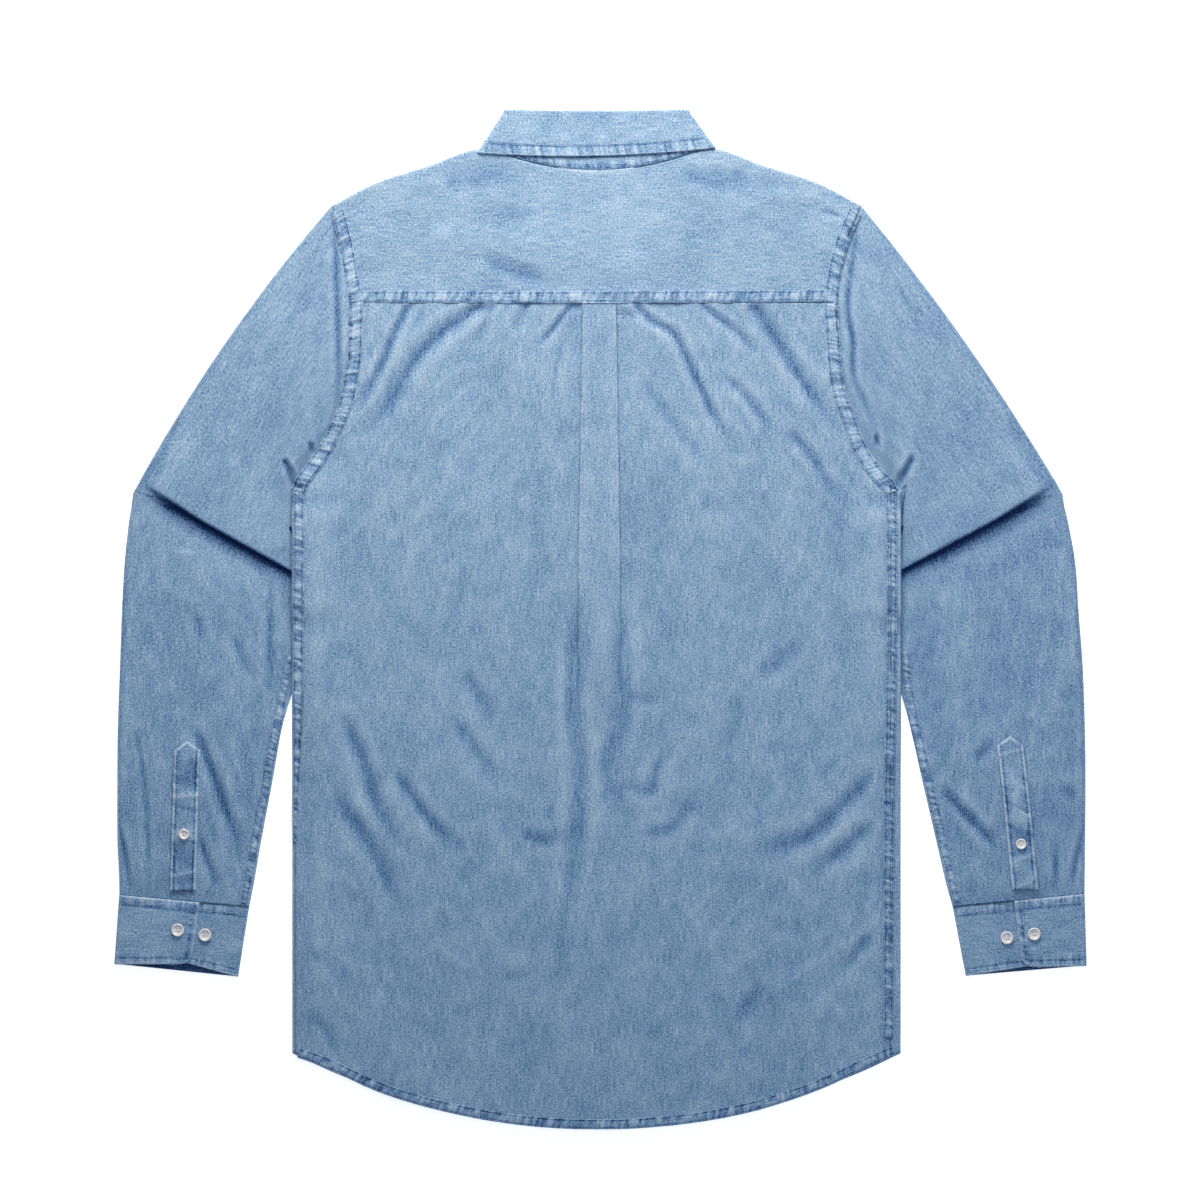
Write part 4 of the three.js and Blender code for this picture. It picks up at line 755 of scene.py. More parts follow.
def elbow_path(q):
    """Place along the sleeve, height, and height near the body, for 0 <= q <= 7 over the S."""
    lap, bend = (ELBOW_HEIGHT - ELBOW_RETURN) / 2, (ELBOW_RETURN - ELBOW_UNDER) / 2
    low = float(np.interp(q, range(8), [5.0, 4.8, 4.2, 3.5, 3.5, 2.75, ELBOW_UNDER, ELBOW_UNDER]))
    if q < 3:
        turn = math.pi * (0.5 - q / 3)
        return -lap + lap * math.cos(turn), ELBOW_RETURN + lap * (1 + math.sin(turn)), low
    if q < 4:
        return lerp(-lap, 0.8 - ELBOW_DEPTH, q - 3), ELBOW_RETURN, low
    if q < 6:
        turn = math.pi * (q - 4) / 2
        return 0.8 - ELBOW_DEPTH - bend * math.sin(turn), ELBOW_UNDER + bend * (1 + math.cos(turn)), low
    return lerp(0.8 - ELBOW_DEPTH, -2, q - 6), ELBOW_UNDER, low


def lapped(w):
    """How far a place across the sleeve follows the lap: not at all at the two folds."""
    return smooth(0.04, 0.45, w) * (1 - smooth(0.945, 0.975, w))


def sleeve_ring(line, height, side, shift=None):
    """One closed ring. line gives the place for a share of the width, height the upper layer."""
    ends = line(np.array([0.0, 1.0]))
    width = np.linalg.norm(ends[1] - ends[0])
    edge_heights = height(np.array([0.0, 1.0]))
    roll_out, roll_in = (edge_heights - FLOOR) / 2
    outer, inner, wall = (roll_out + CLOTH / 2) / width, (roll_in + CLOTH / 2) / width, CLOTH / 2 / width
    turns = np.radians(np.linspace(75, -75, 7))
    top = lerp(outer, 1 - inner, np.linspace(0, 1, TOP_POINTS))
    z_top = height(top)
    z_top[0], z_top[-1] = FLOOR + 2 * roll_out, FLOOR + 2 * roll_in
    below = lerp(1 - inner, outer, np.linspace(0, 1, LOW_POINTS))
    w = np.concatenate([top, 1 - inner + (inner - wall) * np.cos(turns), below,
                        outer - (outer - wall) * np.cos(turns)])
    z = np.concatenate([z_top, FLOOR + roll_in * (1 + np.sin(turns)), np.full(LOW_POINTS, FLOOR),
                        FLOOR + roll_out * (1 + np.sin(turns[::-1]))])
    place = line(w)
    if shift is not None:
        direction, amount = shift
        moved = np.zeros_like(w)
        moved[1:TOP_POINTS - 1] = amount(top[1:-1])
        place = place + direction * moved[:, None]
    return np.stack([side * place[:, 0], place[:, 1], z], 1)


def sleeve_relief(x, y, side):
    """Folds and unevenness of a sleeve's upper layer, and the painted shade of its folds."""
    lean = np.where(y > 60, side * -0.55, side * 0.05)
    fold, fold_shade = folded(SLEEVE_FOLDS[side], x, y)
    forearm = 1 - smooth(20, 60, y)
    leaning = x - lean * y
    waves = 0.6 * ripple(leaning, y, (26, 70), 21 + side) + 0.3 * ripple(leaning, y, (11, 26), 31 + side)
    creases = 0.55 * forearm * creasing(x, y, side * 0.12, 13, 50, 34 + side)
    fine = 0.14 * ripple(x, y, (6, 10), 37 + side)
    return fold + waves + (creases + fine), fold_shade


def sleeve(name, side):
    out_x, out_y, in_x, in_y, bulge = ELBOW[side]
    out, inside = np.array([out_x, out_y]), np.array([in_x, in_y])
    crease = inside - out
    down = np.array([crease[1], -crease[0]]) / np.linalg.norm(crease)
    down = -down if down[1] > 0 else down
    crease_at = lambda w: out + crease * np.asarray(w)[:, None]
    rings = []

    for s in np.linspace(0, 0.97, 74):
        def line(w, s=s):
            y = lerp(ARMHOLE_Y[0], 122, w)
            start = np.stack([armhole(y, side) + 0.4 + 1.8 * smooth(0.8, 1, w), y], 1)
            place = lerp(start, crease_at(w), s)
            swell = bulge * 4 * s * (1 - s) * (1 - w)
            place = place + np.stack([0.81 * swell, 0.59 * swell], 1)
            clear = armhole(place[:, 1], side) + 0.8 + 30 * s
            place[:, 0] = lerp(place[:, 0], np.maximum(place[:, 0], clear), smooth(108, 120, place[:, 1]))
            return place

        def height(w, s=s, line=line):
            crown = np.sqrt(np.maximum(4 * w * (1 - w), 0))
            puff = 1.0 + 1.8 * math.sin(math.pi * min(s * 1.1, 1))
            level = lerp(lerp(BACK_REST, 3.6, s), lerp(2.6, 2.1, smooth(0, 0.1, s)), w)
            place = line(w)
            calm = smooth(0, 0.08, w) * (1 - smooth(0.93, 1, w))
            rough = sleeve_relief(side * place[:, 0], place[:, 1], side)[0] * calm
            plain = level + puff * crown * (1 - smooth(0.4, 0.97, w))
            rolled = lerp(3.0, lerp(ELBOW_HEIGHT, 5.0, smooth(0.74, 0.93, w)), smooth(0, 0.14, w))
            near_crease = smooth(0.5, 1.0, s) * smooth(0.3, 1.0, s)
            shaped = lerp(plain, rolled, near_crease) + rough * (1 - 0.6 * near_crease)
            return np.maximum(shaped, ELBOW_UNDER - 0.1)

        rings.append(sleeve_ring(line, height, side))

    steps = np.concatenate([np.linspace(0, 3, 15), np.linspace(3, 4, 9)[1:], np.linspace(4, 6, 9)[1:],
                            np.linspace(6, 7, 9)[1:]])
    for q in steps:
        reach, z, low = elbow_path(q)
        even = (q - 3) * 1.9
        line = lambda w, even=even: crease_at(w) + down * even
        height = lambda w, z=z, low=low: lerp(3.0, lerp(z, low, smooth(0.74, 0.93, w)), smooth(0, 0.16, w))
        amount = lambda w, off=reach - even: off * lapped(w)
        rings.append(sleeve_ring(line, height, side, (down, amount)))

    # Between the crease and the first row of the forearm
    table = FOREARM[side]
    first_row = table[0]
    for share in np.linspace(0, 1, RINGS_BETWEEN + 2)[1:-1]:
        line = lambda w, share=share: lerp(
            crease_at(w) + down * 7.6, lerp(first_row[:2], first_row[2:4], np.asarray(w)[:, None]), share)
        height = lambda w, share=share: lerp(
            lerp(3.0, ELBOW_UNDER, smooth(0, 0.16, w)), lerp(first_row[4], 2.0, w), share)
        amount = lambda w, share=share: (1 - share) * -9.6 * lapped(w)
        rings.append(sleeve_ring(line, height, side, (down, amount)))

    for k in np.linspace(0, 9, FOREARM_RINGS):
        ox, oy, ix, iy, top, puff = [through(np.arange(10), table[:, c], np.array([k]))[0] for c in range(6)]
        near = lerp(2.0, top, 1 - smooth(-96, -66, iy))
        line = lambda w, a=np.array([ox, oy]), b=np.array([ix, iy]): a + (b - a) * np.asarray(w)[:, None]

        def height(w, top=top, near=near, puff=puff, line=line, k=k):
            crown = np.sqrt(np.maximum(4 * w * (1 - w), 0))
            place = line(w)
            calm = smooth(0, 0.04, w) * (1 - smooth(0.93, 1, w))
            calm = calm * smooth(0, 0.8, k) * (1 - 0.6 * smooth(8.6, 9, k))
            rough = sleeve_relief(side * place[:, 0], place[:, 1], side)[0] * calm
            level = lerp(top, near, w) + puff * crown * (1 - smooth(0.7, 0.88, w))
            return np.maximum(level + rough, ELBOW_UNDER - 0.1)

        rings.append(sleeve_ring(line, height, side))

    grid = np.array(rings)
    # Painted shade: the cloth is darker in the layers of the elbow fold, near the crease on the upper arm,
    # and as a dark core with a soft halo under the lap
    wear_and_shading = panel_wear_and_shading(grid, sleeve_relief(grid[..., 0], grid[..., 1], side)[1])
    after = len(rings) - FOREARM_RINGS - RINGS_BETWEEN
    before = after - len(steps)
    below = -(grid[..., :2] - np.array([side * out_x, out_y])) @ (np.array([side, 1.0]) * down)
    share = np.clip((np.abs(grid[..., 0]) - in_x) / (out_x - in_x), 0, 1)
    covered = (1 - smooth(0.72, 0.96, share)) * smooth(0.0, 0.07, share)
    in_fold = np.interp(steps, [0, 0.7, 1.4, 7], [-0.1, -0.5, -1.6, -1.6])[:, None]
    wear_and_shading[before:after] += in_fold * covered[before:after]
    wear_and_shading[:before] -= (0.35 * np.exp(-np.abs(below) / 2.0) * covered)[:before]
    wear_and_shading[after:] -= 2.1 * (np.exp(-(np.abs(below) / 5.6) ** 1.3) * lerp(0.15, 1.0, covered))[after:]
    # painted shade: a dark line along the last ring, where the sleeve meets the cuff
    wear_and_shading[-1:] -= 0.7
    wear_and_shading -= 0.12
    around = np.linalg.norm(np.diff(grid, axis=1, prepend=grid[:, :1]), axis=2).cumsum(axis=1)
    down_length = np.linalg.norm(np.diff(grid[:, 30], axis=0, prepend=grid[:1, 30]), axis=1).cumsum()
    weave = np.stack([around + 600 * (side + 2), np.repeat(down_length[:, None], grid.shape[1], 1)], 2)
    return cloth(name, grid, DENIM, closed=True, weave=weave, wear_and_shading=wear_and_shading)


SLEEVES = {side: sleeve(f"sleeve_{SIDES[side]}_cloth", side) for side in SIDES}


# %% [markdown]
# ## What lies on what
# Plackets, seam bands, stitches and buttons lie on cloth that is already there. A ray sent
# straight down from above finds that surface, as a fingertip would.

# %% Surface finder
def surface_of(*pieces):
    """A function that gives the height of the highest piece, in millimetres, at points (x, y)."""
    points, faces = [], []
    for piece in pieces:
        start = len(points)
        points += [v.co for v in piece.data.vertices]
        faces += [[start + k for k in p.vertices] for p in piece.data.polygons]
    tree = BVHTree.FromPolygons(points, faces)

    def height(x, y):
        flat_x, flat_y = np.broadcast_arrays(x, y)
        heights = np.empty(flat_x.size)
        last = 3.0
        for k, (px, py) in enumerate(zip(flat_x.ravel(), flat_y.ravel())):
            hit = tree.ray_cast((px * MM, py * MM, 0.1), (0, 0, -1))[0]
            last = last if hit is None else hit.z / MM
            heights[k] = last
        return heights.reshape(flat_x.shape)

    return height


# %% [markdown]
# The sleeve placket is a pointed strip with a button, sewn over the slit above the cuff. The
# cuff is a doubled, interlined band, so it is thicker and stays smoother than the sleeve. It
# goes from its upper end round the outer fold, under the sleeve, and back up to the underlap.

# %% Plackets and cuffs
BAND = 1.6                  # thickness of doubled, interlined cloth
# Tip, lower end and width of each placket
PLACKET = {-1: (361.2, -106.8, 365.2, -238.0, 22.5), 1: (358.0, -102.4, 371.4, -237.0, 23.0)}
# Upper corners, lower corners, and the share of the width where the upper end stops
CUFF = {
    -1: ((421.4, -242.4), (307.6, -252.9), (425.7, -302.0), (317.2, -313.2), 0.62),
    1: ((423.9, -241.5), (308.4, -252.9), (425.7, -303.4), (319.8, -312.4), 0.535),
}
CUFF_UNDERLAP = 0.2         # share of the width that is hidden under the upper end
CUFF_CORNER = 10            # radius of the rounded corner
CUFF_SLIP = {-1: 7.0, 1: 3.5}
CUFF_OVERLAP = 0.9          # how far the cuff reaches over the sleeve
OVER_POINTS = 40            # points of a cuff's row on the layer that shows,
CUFF_LOW_POINTS = 18        # on the layer on the table,
UNDER_POINTS = 36           # on the layer that comes back up,
TURN_POINTS = 9             # and on each of its two turns
CUFF_LOW = BAND / 2
CUFF_UNDER = CUFF_LOW + BAND + LAP
CUFF_OVER = CUFF_UNDER + BAND + LAP


def placket(name, side):
    tip_x, tip_y, end_x, end_y, width = PLACKET[side]
    t = np.linspace(0, 1, 72)[:, None]
    across = np.linspace(-1, 1, 17)[None, :]
    point = 8 * np.abs(across) * np.clip(1 - t / 0.5, 0, 1)
    x = side * (lerp(tip_x, end_x, t) + across * width / 2)
    y = lerp(tip_y - point, end_y, t)
    under = surface_of(SLEEVES[side])(x, y)
    under = 0.35 * under + 0.65 * np.median(under, axis=1, keepdims=True)
    edge = np.maximum(np.abs(across), 1 - 8 * t)
    puckers = 1.5 * ripple(y + 0.4 * x, x * 0 + 2, (2.3, 30), 40 + side) * np.abs(across) ** 2
    cross = creasing(y, x, 0.2, 13, 40, 43 + side) - 0.7 * creasing(y + 5, x, -0.3, 15, 40, 47 + side)
    z = under + 1.5 + 0.35 * (1 - edge ** 6) + 0.4 * puckers + 0.9 * cross
    groove = np.exp(-((np.abs(across) - 0.74) / 0.09) ** 2)
    wear_and_shading = 0.75 * (edge > 0.86) - 0.7 * groove + 0.55 * puckers + 0.6 * cross - 0.15
    return cloth(name, np.stack([x, y, z], 2), DENIM, wear_and_shading=wear_and_shading)


def cuff(name, side):
    start_out, start_in, end_out, end_in, lap = [np.array(v) for v in CUFF[side]]
    length = np.linalg.norm(end_out - start_out)
    turns = np.radians(np.linspace(80, -80, TURN_POINTS))
    roll_out, roll_in = (CUFF_OVER - CUFF_LOW) / 2, (CUFF_UNDER - CUFF_LOW) / 2
    grid, tone = [], []
    for t in np.concatenate([np.linspace(0, 0.85, 26), np.linspace(0.85, 1, 12)[1:]]):
        out = lerp(start_out + (0, CUFF_OVERLAP), end_out, t)
        inside = lerp(start_in + (0, CUFF_OVERLAP), end_in, t)
        width = np.linalg.norm(inside - out)
        from_end = max(0.0, CUFF_CORNER - (1 - t) * length)
        rounding = CUFF_CORNER - math.sqrt(max(CUFF_CORNER ** 2 - from_end ** 2, 0))
        first = lap - rounding / width
        outer, inner, wall = (roll_out + BAND / 2) / width, (roll_in + BAND / 2) / width, BAND / 2 / width
        over = lerp(first, outer, np.linspace(0, 1, OVER_POINTS))
        low = lerp(outer, 1 - inner, np.linspace(0, 1, CUFF_LOW_POINTS))
        under = lerp(1 - inner, lap - CUFF_UNDERLAP, np.linspace(0, 1, UNDER_POINTS))
        w = np.concatenate([over, outer - (outer - wall) * np.cos(turns), low,
                            1 - inner + (inner - wall) * np.cos(turns), under])
        z = np.concatenate([
            np.full(OVER_POINTS, CUFF_OVER), CUFF_LOW + roll_out * (1 + np.sin(turns)),
            np.full(CUFF_LOW_POINTS, CUFF_LOW), CUFF_LOW + roll_in * (1 + np.sin(turns[::-1])),
            np.full(UNDER_POINTS, CUFF_UNDER)])
        place = out + (inside - out) * w[:, None]
        x, y = side * place[:, 0], place[:, 1]
        # The upper layer slips back a little, so that the inside of the lower one shows below it
        y[:OVER_POINTS] += CUFF_SLIP[side] * t ** 2 * (over - outer) / (lap - outer)
        y[-UNDER_POINTS:] += CUFF_SLIP[side] * t ** 2 * np.clip((1 - inner - under) / (1 - lap), 0, 1)
        top, inner_face = np.zeros(len(w)), np.zeros(len(w))
        top[:OVER_POINTS], top[-UNDER_POINTS:] = 1, 1
        inner_face[OVER_POINTS + TURN_POINTS:-UNDER_POINTS - TURN_POINTS] = 1
        down = t * length
        seam = np.exp(-((down - 8) / 1.1) ** 2) + np.exp(-((length - down - 5.5) / 1.0) ** 2)
        lap_edge = np.full(len(w), 99.0)
        lap_edge[:OVER_POINTS] = (first - over) * width
        seam = np.maximum(seam, np.exp(-((lap_edge - 4.5) / 1.0) ** 2))
        border = np.minimum(np.minimum(down, length - down), lap_edge)
        along = np.where(lap_edge < 7, y, x)
        puckers = ripple(along + 0.3 * x, y * 0 + 3, (2.2, 40), 54 + side)
        puckers = puckers * np.exp(-((border - 4) / 4.5) ** 2)
        uneven = 0.45 * ripple(x, y, (19, 12), 50 + side) + 0.2 * ripple(x, y, (6, 5), 52 + side)
        grid.append(np.stack([x, y, z + top * (uneven + 0.4 * puckers - 0.45 * seam + 0.1)], 1))
        # painted shade: the inside of the lower layer, which shows below the upper one, is darker
        tone.append(top * (0.7 * np.exp(-border / 1.1) + 0.75 * puckers - 0.6 * seam) - 1.1 * inner_face)
    grid = np.array(grid)
    around = np.linalg.norm(np.diff(grid, axis=1, prepend=grid[:, :1]), axis=2).cumsum(axis=1)
    weave = np.stack([grid[..., 1] * side, around], 2)
    return cloth(name, grid, DENIM, thick=BAND, weave=weave, wear_and_shading=np.array(tone))


PLACKETS = {side: placket(f"sleeve_placket_{SIDES[side]}_cloth", side) for side in SIDES}
CUFFS = {side: cuff(f"cuff_{SIDES[side]}_cloth", side) for side in SIDES}


# %% [markdown]
# ## The collar
# The collar goes once round the flattened neck: the stand rises from the neck seam, and the
# fall turns over its upper edge and comes down outside. From the back the fold shows as a soft
# roll, then the fall with a stitched edge, and a crescent of the stand below it.

# %% Collar
STAND = 1.2
STAND_FRONT_Z = 2.6
STAND_BACK_Z = 4.3
FALL_FRONT_Z = BAND / 2
FALL_BACK_Z = 6.2
BACK_POINTS = 120
STAND_HALF = 78             # half width of the stand at its upper edge
FALL_HALF = 101             # half width of the fall at its free edge
FREE_EDGE = 409.5           # height of the fall's free edge at its ends
FREE_EDGE_DIP = 4.5         # how far it hangs lower in the middle
FREE_EDGE_SLANT = 2.2       # how much higher it is on the right, and lower on the left


def free_edge(share):
    """Height of the fall's free edge, for a share from -1 on the left to 1 on the right."""
    return FREE_EDGE - FREE_EDGE_DIP * (1 - share ** 2) + FREE_EDGE_SLANT * share


def collar_parts():
    """Parts of the way round the neck: front right, roll, back, roll, front left."""
    front_share = np.linspace(0, 1, 16)
    turn = np.linspace(-80, 80, 9)
    return [("front", -1, front_share), ("roll", -1, turn), ("back", 0, np.linspace(0, 1, BACK_POINTS)),
            ("roll", 1, turn[::-1]), ("front", 1, front_share[::-1])]


def collar_stand(name):
    grid, tone = [], []
    for t in np.linspace(0, 1, 26):
        half = lerp(NECK_HALF - 1.2, STAND_HALF, t)
        radius = (STAND_BACK_Z - STAND_FRONT_Z) / 2
        lowest = BACK_NECK - 1.2
        row, tone_row = [], []
        for kind, side, value in collar_parts():
            tone_row.append(np.full(len(value), -0.2))
            if kind == "back":
                out = lerp(-half, half, value)
                low = lowest - NECK_DROP * (1 - (out / half) ** 2) + SEAM + 1.6
                x, y = CENTRE + out, lerp(low, STAND_TOP, t)
                above = y - low
                pucker = ripple(x + 0.3 * above, x * 0 + 6, (2.0, 9), 62)
                pucker = pucker * smooth(9, 5, above) * smooth(0.2, 1.2, above)
                groove = np.exp(-((above - 1.6) / 0.5) ** 2) + np.exp(-((above - 4.4) / 0.6) ** 2)
                calm = smooth(0, 0.2, t) * (1 - smooth(0.75, 0.95, t))
                z = STAND_BACK_Z + 0.25 * ripple(x, y, (14, 9), 61) * calm + 0.25 * pucker
                # painted shadow: the stand is darker under the fall and just below its free edge
                hidden = smooth(-1.8, 0.5, y - free_edge(out / half))
                tone_row[-1] = 0.15 + 0.6 * pucker - 0.8 * groove - 1.3 * hidden
            elif kind == "front":
                out = lerp(1.2, half, value)
                low = front_neck(out * NECK_HALF / half) + SEAM + 1.6
                x, y = CENTRE + side * out, lerp(low, lerp(low + 30, STAND_TOP, (out / half) ** 3), t)
                z = np.full(len(value), STAND_FRONT_Z)
            else:
                angle = np.radians(value)
                x = CENTRE + side * (half + radius * np.cos(angle))
                y = np.full(len(value), lerp(lowest + SEAM + 1.6, STAND_TOP, t))
                z = (STAND_BACK_Z + STAND_FRONT_Z) / 2 + radius * np.sin(angle)
            row.append(np.stack([x, y, z], 1))
        grid.append(np.concatenate(row))
        tone.append(np.concatenate(tone_row))
    grid = np.array(grid)
    return cloth(name, grid, DENIM, thick=STAND, weave=grid[..., [1, 0]] + 1400, wear_and_shading=np.array(tone))


def collar_fall(name):
    levels = [(0.5 - 0.5 * math.cos(a), math.sin(a), 0.0) for a in np.linspace(0, math.pi, 15)]
    levels += [(1.0, 0.0, fall) for fall in np.linspace(0, 1, 40)[1:]]
    start = STAND_TOP + SEAM + 0.8
    grid, tone = [], []
    for level, rise, fall in levels:
        z_back, z_front = lerp(STAND_BACK_Z, FALL_BACK_Z, level), lerp(STAND_FRONT_Z, FALL_FRONT_Z, level)
        half = lerp(STAND_HALF, FALL_HALF, fall)
        row, tone_row = [], []
        for kind, side, value in collar_parts():
            if kind == "back":
                out = lerp(-half, half, value)
                inward = 1 - (out / half) ** 2
                free = free_edge(out / half)
                x, y = CENTRE + out, lerp(start, free, fall) + 2.4 * rise - 1.2 * inward * rise
                edge = (1 - fall) * (start - free)
                pucker = 1.4 * ripple(x + 0.25 * y, x * 0 + 2, (2.1, 9), 71) * smooth(11, 7, edge)
                groove = np.exp(-((edge - 8.3) / 0.9) ** 2)
                uneven = 0.35 * ripple(x, y, (21, 9), 72) + 0.4 * pucker - 0.5 * groove
                z = z_back + 0.1 + uneven * smooth(0, 0.2, fall)
                worn_back = 0.05 + 0.65 * pucker - 0.7 * groove + 0.5 * np.exp(-edge / 1.0)
            elif kind == "front":
                top = front_neck(lerp(2, NECK_HALF, value)) + SEAM + 1.6
                fold_y = lerp(top + 30, STAND_TOP, value ** 3) + SEAM + 2.2 - 1.4 * value
                free_y = lerp(316, free_edge(side), value ** 0.8)
                x = CENTRE + side * lerp(lerp(2, STAND_HALF, value), lerp(44, FALL_HALF, value), fall)
                y, z = lerp(fold_y, free_y, fall) + 2.4 * rise, np.full(len(value), z_front)
            else:
                angle = np.radians(value)
                radius = (z_back - z_front) / 2
                x = CENTRE + side * (half + radius * np.cos(angle) * (0.6 + 0.6 * level))
                y = np.full(len(value), lerp(start, free_edge(side), fall) + 2.4 * rise)
                z = (z_back + z_front) / 2 + radius * np.sin(angle)
            row.append(np.stack([x, y, z], 1))
            tone_row.append(worn_back if kind == "back" else np.zeros(len(value)))
        grid.append(np.concatenate(row))
        tone.append(np.concatenate(tone_row))
    grid = np.array(grid)
    return cloth(name, grid, DENIM, thick=BAND, weave=grid[..., [1, 0]] + 1800, wear_and_shading=np.array(tone))


stand_piece = collar_stand("collar_stand_cloth")
fall_piece = collar_fall("collar_fall_cloth")

# %% [markdown]
# ## Felled seams and the hem
# A felled seam is a flat band of folded cloth between two rows of stitches. Washing shrinks the
# thread less than the cloth, so the band puckers every few millimetres, and the raised puckers
# wear pale. Each band is its own strip with a groove along either row of stitches.

# %% Seam bands
BAND_STEP = 1.0


def seam_band(name, line, widths, under, seed, slant=0.25, pucker=0.46, pitch=3.7):
    """A puckered strip along a line in photograph pixels. widths are millimetres along the way."""
    path = drawn_line(from_photo(line), BAND_STEP)
    along = np.gradient(path, axis=0)
    along /= np.linalg.norm(along, axis=1, keepdims=True)
    side = np.stack([along[:, 1], -along[:, 0]], 1)
    run = np.arange(len(path))[:, None] * BAND_STEP
    half = np.interp(run[:, 0], np.linspace(0, run[-1, 0], len(widths)), widths)[:, None] / 2
    across = np.linspace(-1, 1, 13)[None, :]
    place = path[:, None] + side[:, None] * (across * half)[..., None]
    x, y = place[..., 0], place[..., 1]
    sheared = run + slant * across * half
    waves = 1.25 * ripple(sheared, across * 0.5 + 4, (pitch / 2, 1.3), seed)
    waves += 0.3 * ripple(run, across * 5, (2.2, 3.0), seed + 2)
    groove = np.exp(-((np.abs(across) - 0.76) / 0.13) ** 2)
    z = under(x, y) + 0.75 + pucker * waves * (1 - across ** 4) - 0.5 * groove
    wear_and_shading = np.clip(0.6 * waves - 1.0 * groove + 0.3 * (np.abs(across) > 0.95), -1, 0.8)
    # painted light: the bands are paler toward the shoulders
    wear_and_shading += 0.14 * smooth(-300, 380, y) - 0.08
    weave = np.stack([across * half + 2200 + 0 * run, run + seed * 70 + 0 * across], 2)
    return cloth(name, np.stack([x, y, z], 2), DENIM, thick=0.6, wear_and_shading=wear_and_shading, weave=weave)


on_yoke_and_back = surface_of(back_piece, yoke_piece)
on_body = surface_of(back_piece, *front_pieces)
on_all = surface_of(back_piece, yoke_piece, *front_pieces)
on_sleeves = surface_of(*SLEEVES.values())
YOKE_LINE = [(353.5, 297), (430, 297), (520, 297.5), (600, 297.5), (690, 297), (770, 296.5), (835.5, 296)]
ARMHOLE_LINE = {
    -1: [(337, 211), (343, 232), (349, 261), (353, 285), (356, 302), (355.5, 323), (355.5, 343),
         (352, 374), (346, 403), (335.5, 429), (325.5, 448), (312, 469), (303, 481), (298.5, 492)],
    1: [(855.5, 211), (842, 244), (834, 278), (831.5, 303), (832.5, 328), (834.5, 358), (837.5, 385),
        (846, 412), (856, 439), (867, 461), (879, 477), (887, 485), (891.5, 493)],
}
SIDE_LINE = {
    -1: [(299, 488), (299.5, 520), (299, 580), (298.5, 640), (298, 700), (297, 750), (296, 800),
         (294.6, 842)],
    1: [(890.5, 489), (891, 520), (891.5, 640), (890.5, 720), (889.5, 800), (889, 900), (888.5, 1038)],
}
ARMHOLE_WIDTHS = [11.6, 11.6, 11.6, 11.6, 13.0]
FOREARM_WIDTHS = [6.5, 7.5, 7.5, 7.0, 6.0]
SIDE_WIDTHS = {-1: [9.2, 9.2, 9.2, 9.0, 8.0, 6.0, 4.0, 2.6], 1: [9.2, 9.0, 8.6, 8.2]}
FOREARM_LINE = {
    -1: [(288.5, 655), (283.5, 690), (279, 715), (271, 755), (263, 800), (256, 835),
         (250.5, 867), (243.8, 903)],
    1: [(905.5, 652), (908.5, 690), (914, 722), (920.5, 750), (928.5, 782), (939, 827),
        (948.5, 867), (957, 902)],
}
HEM_LINE = [(299, 1053), (320, 1060.5), (382, 1088), (451, 1108), (520, 1120), (598, 1124),
            (680, 1119.5), (750, 1107), (820, 1084), (870, 1061), (894, 1051)]
bands = {
    "yoke": seam_band("yoke_seam_band", YOKE_LINE, [10.4], on_yoke_and_back, 101),
    "hem": seam_band("hem_band", HEM_LINE, [8.5], on_body, 141, pucker=0.3, pitch=5.0),
}
for side, word in SIDES.items():
    bands[f"armhole_{word}"] = seam_band(
        f"armhole_band_{word}", ARMHOLE_LINE[side], ARMHOLE_WIDTHS, on_all, 111 + side, slant=0.3 * side)
    bands[f"side_{word}"] = seam_band(
        f"side_band_{word}", SIDE_LINE[side], SIDE_WIDTHS[side], on_body, 121 + side, slant=0.3, pitch=4.6)
    bands[f"forearm_{word}"] = seam_band(
        f"forearm_band_{word}", FOREARM_LINE[side], FOREARM_WIDTHS, on_sleeves, 131 + side, pucker=0.35)
print(len(bands), "bands")

# %% [markdown]
# ## Buttons
# A four-hole shirt button has a raised rim round a shallow dish. It is a disc of rings here,
# and the holes are pressed into the rings of the dish.

# %% Pearl and buttons
pearl, pearl_tree, pearl_output = new_material("pearl_resin")
pearl_cloud = add_node(pearl_tree, "ShaderNodeTexNoise", inputs={"Scale": 260.0, "Detail": 2.0})
pearl_cloud_at = add_node(pearl_tree, "ShaderNodeTexCoord")
pearl_tree.links.new(pearl_cloud_at.outputs["Object"], pearl_cloud.inputs["Vector"])
pearl_ramp = add_node(pearl_tree, "ShaderNodeValToRGB", inputs={"Fac": pearl_cloud.outputs["Fac"]})
pearl_ramp.color_ramp.elements[0].color = linear("#c3c9d2")
pearl_ramp.color_ramp.elements[1].color = linear("#f6f4ef")
pearl_shader = add_node(pearl_tree, "ShaderNodeBsdfPrincipled", inputs={
    "Base Color": pearl_ramp.outputs["Color"], "Roughness": 0.28, "Coat Weight": 0.4})
pearl_tree.links.new(pearl_shader.outputs["BSDF"], pearl_output.inputs["Surface"])


def ring_faces(rings, around):
    """Faces of a form that is made of closed rings of points, with a cap at each end."""
    faces = [(i * around + j, i * around + (j + 1) % around,
              (i + 1) * around + (j + 1) % around, (i + 1) * around + j)
             for i in range(rings - 1) for j in range(around)]
    return faces + [tuple(range(around))[::-1], tuple(range((rings - 1) * around, rings * around))]


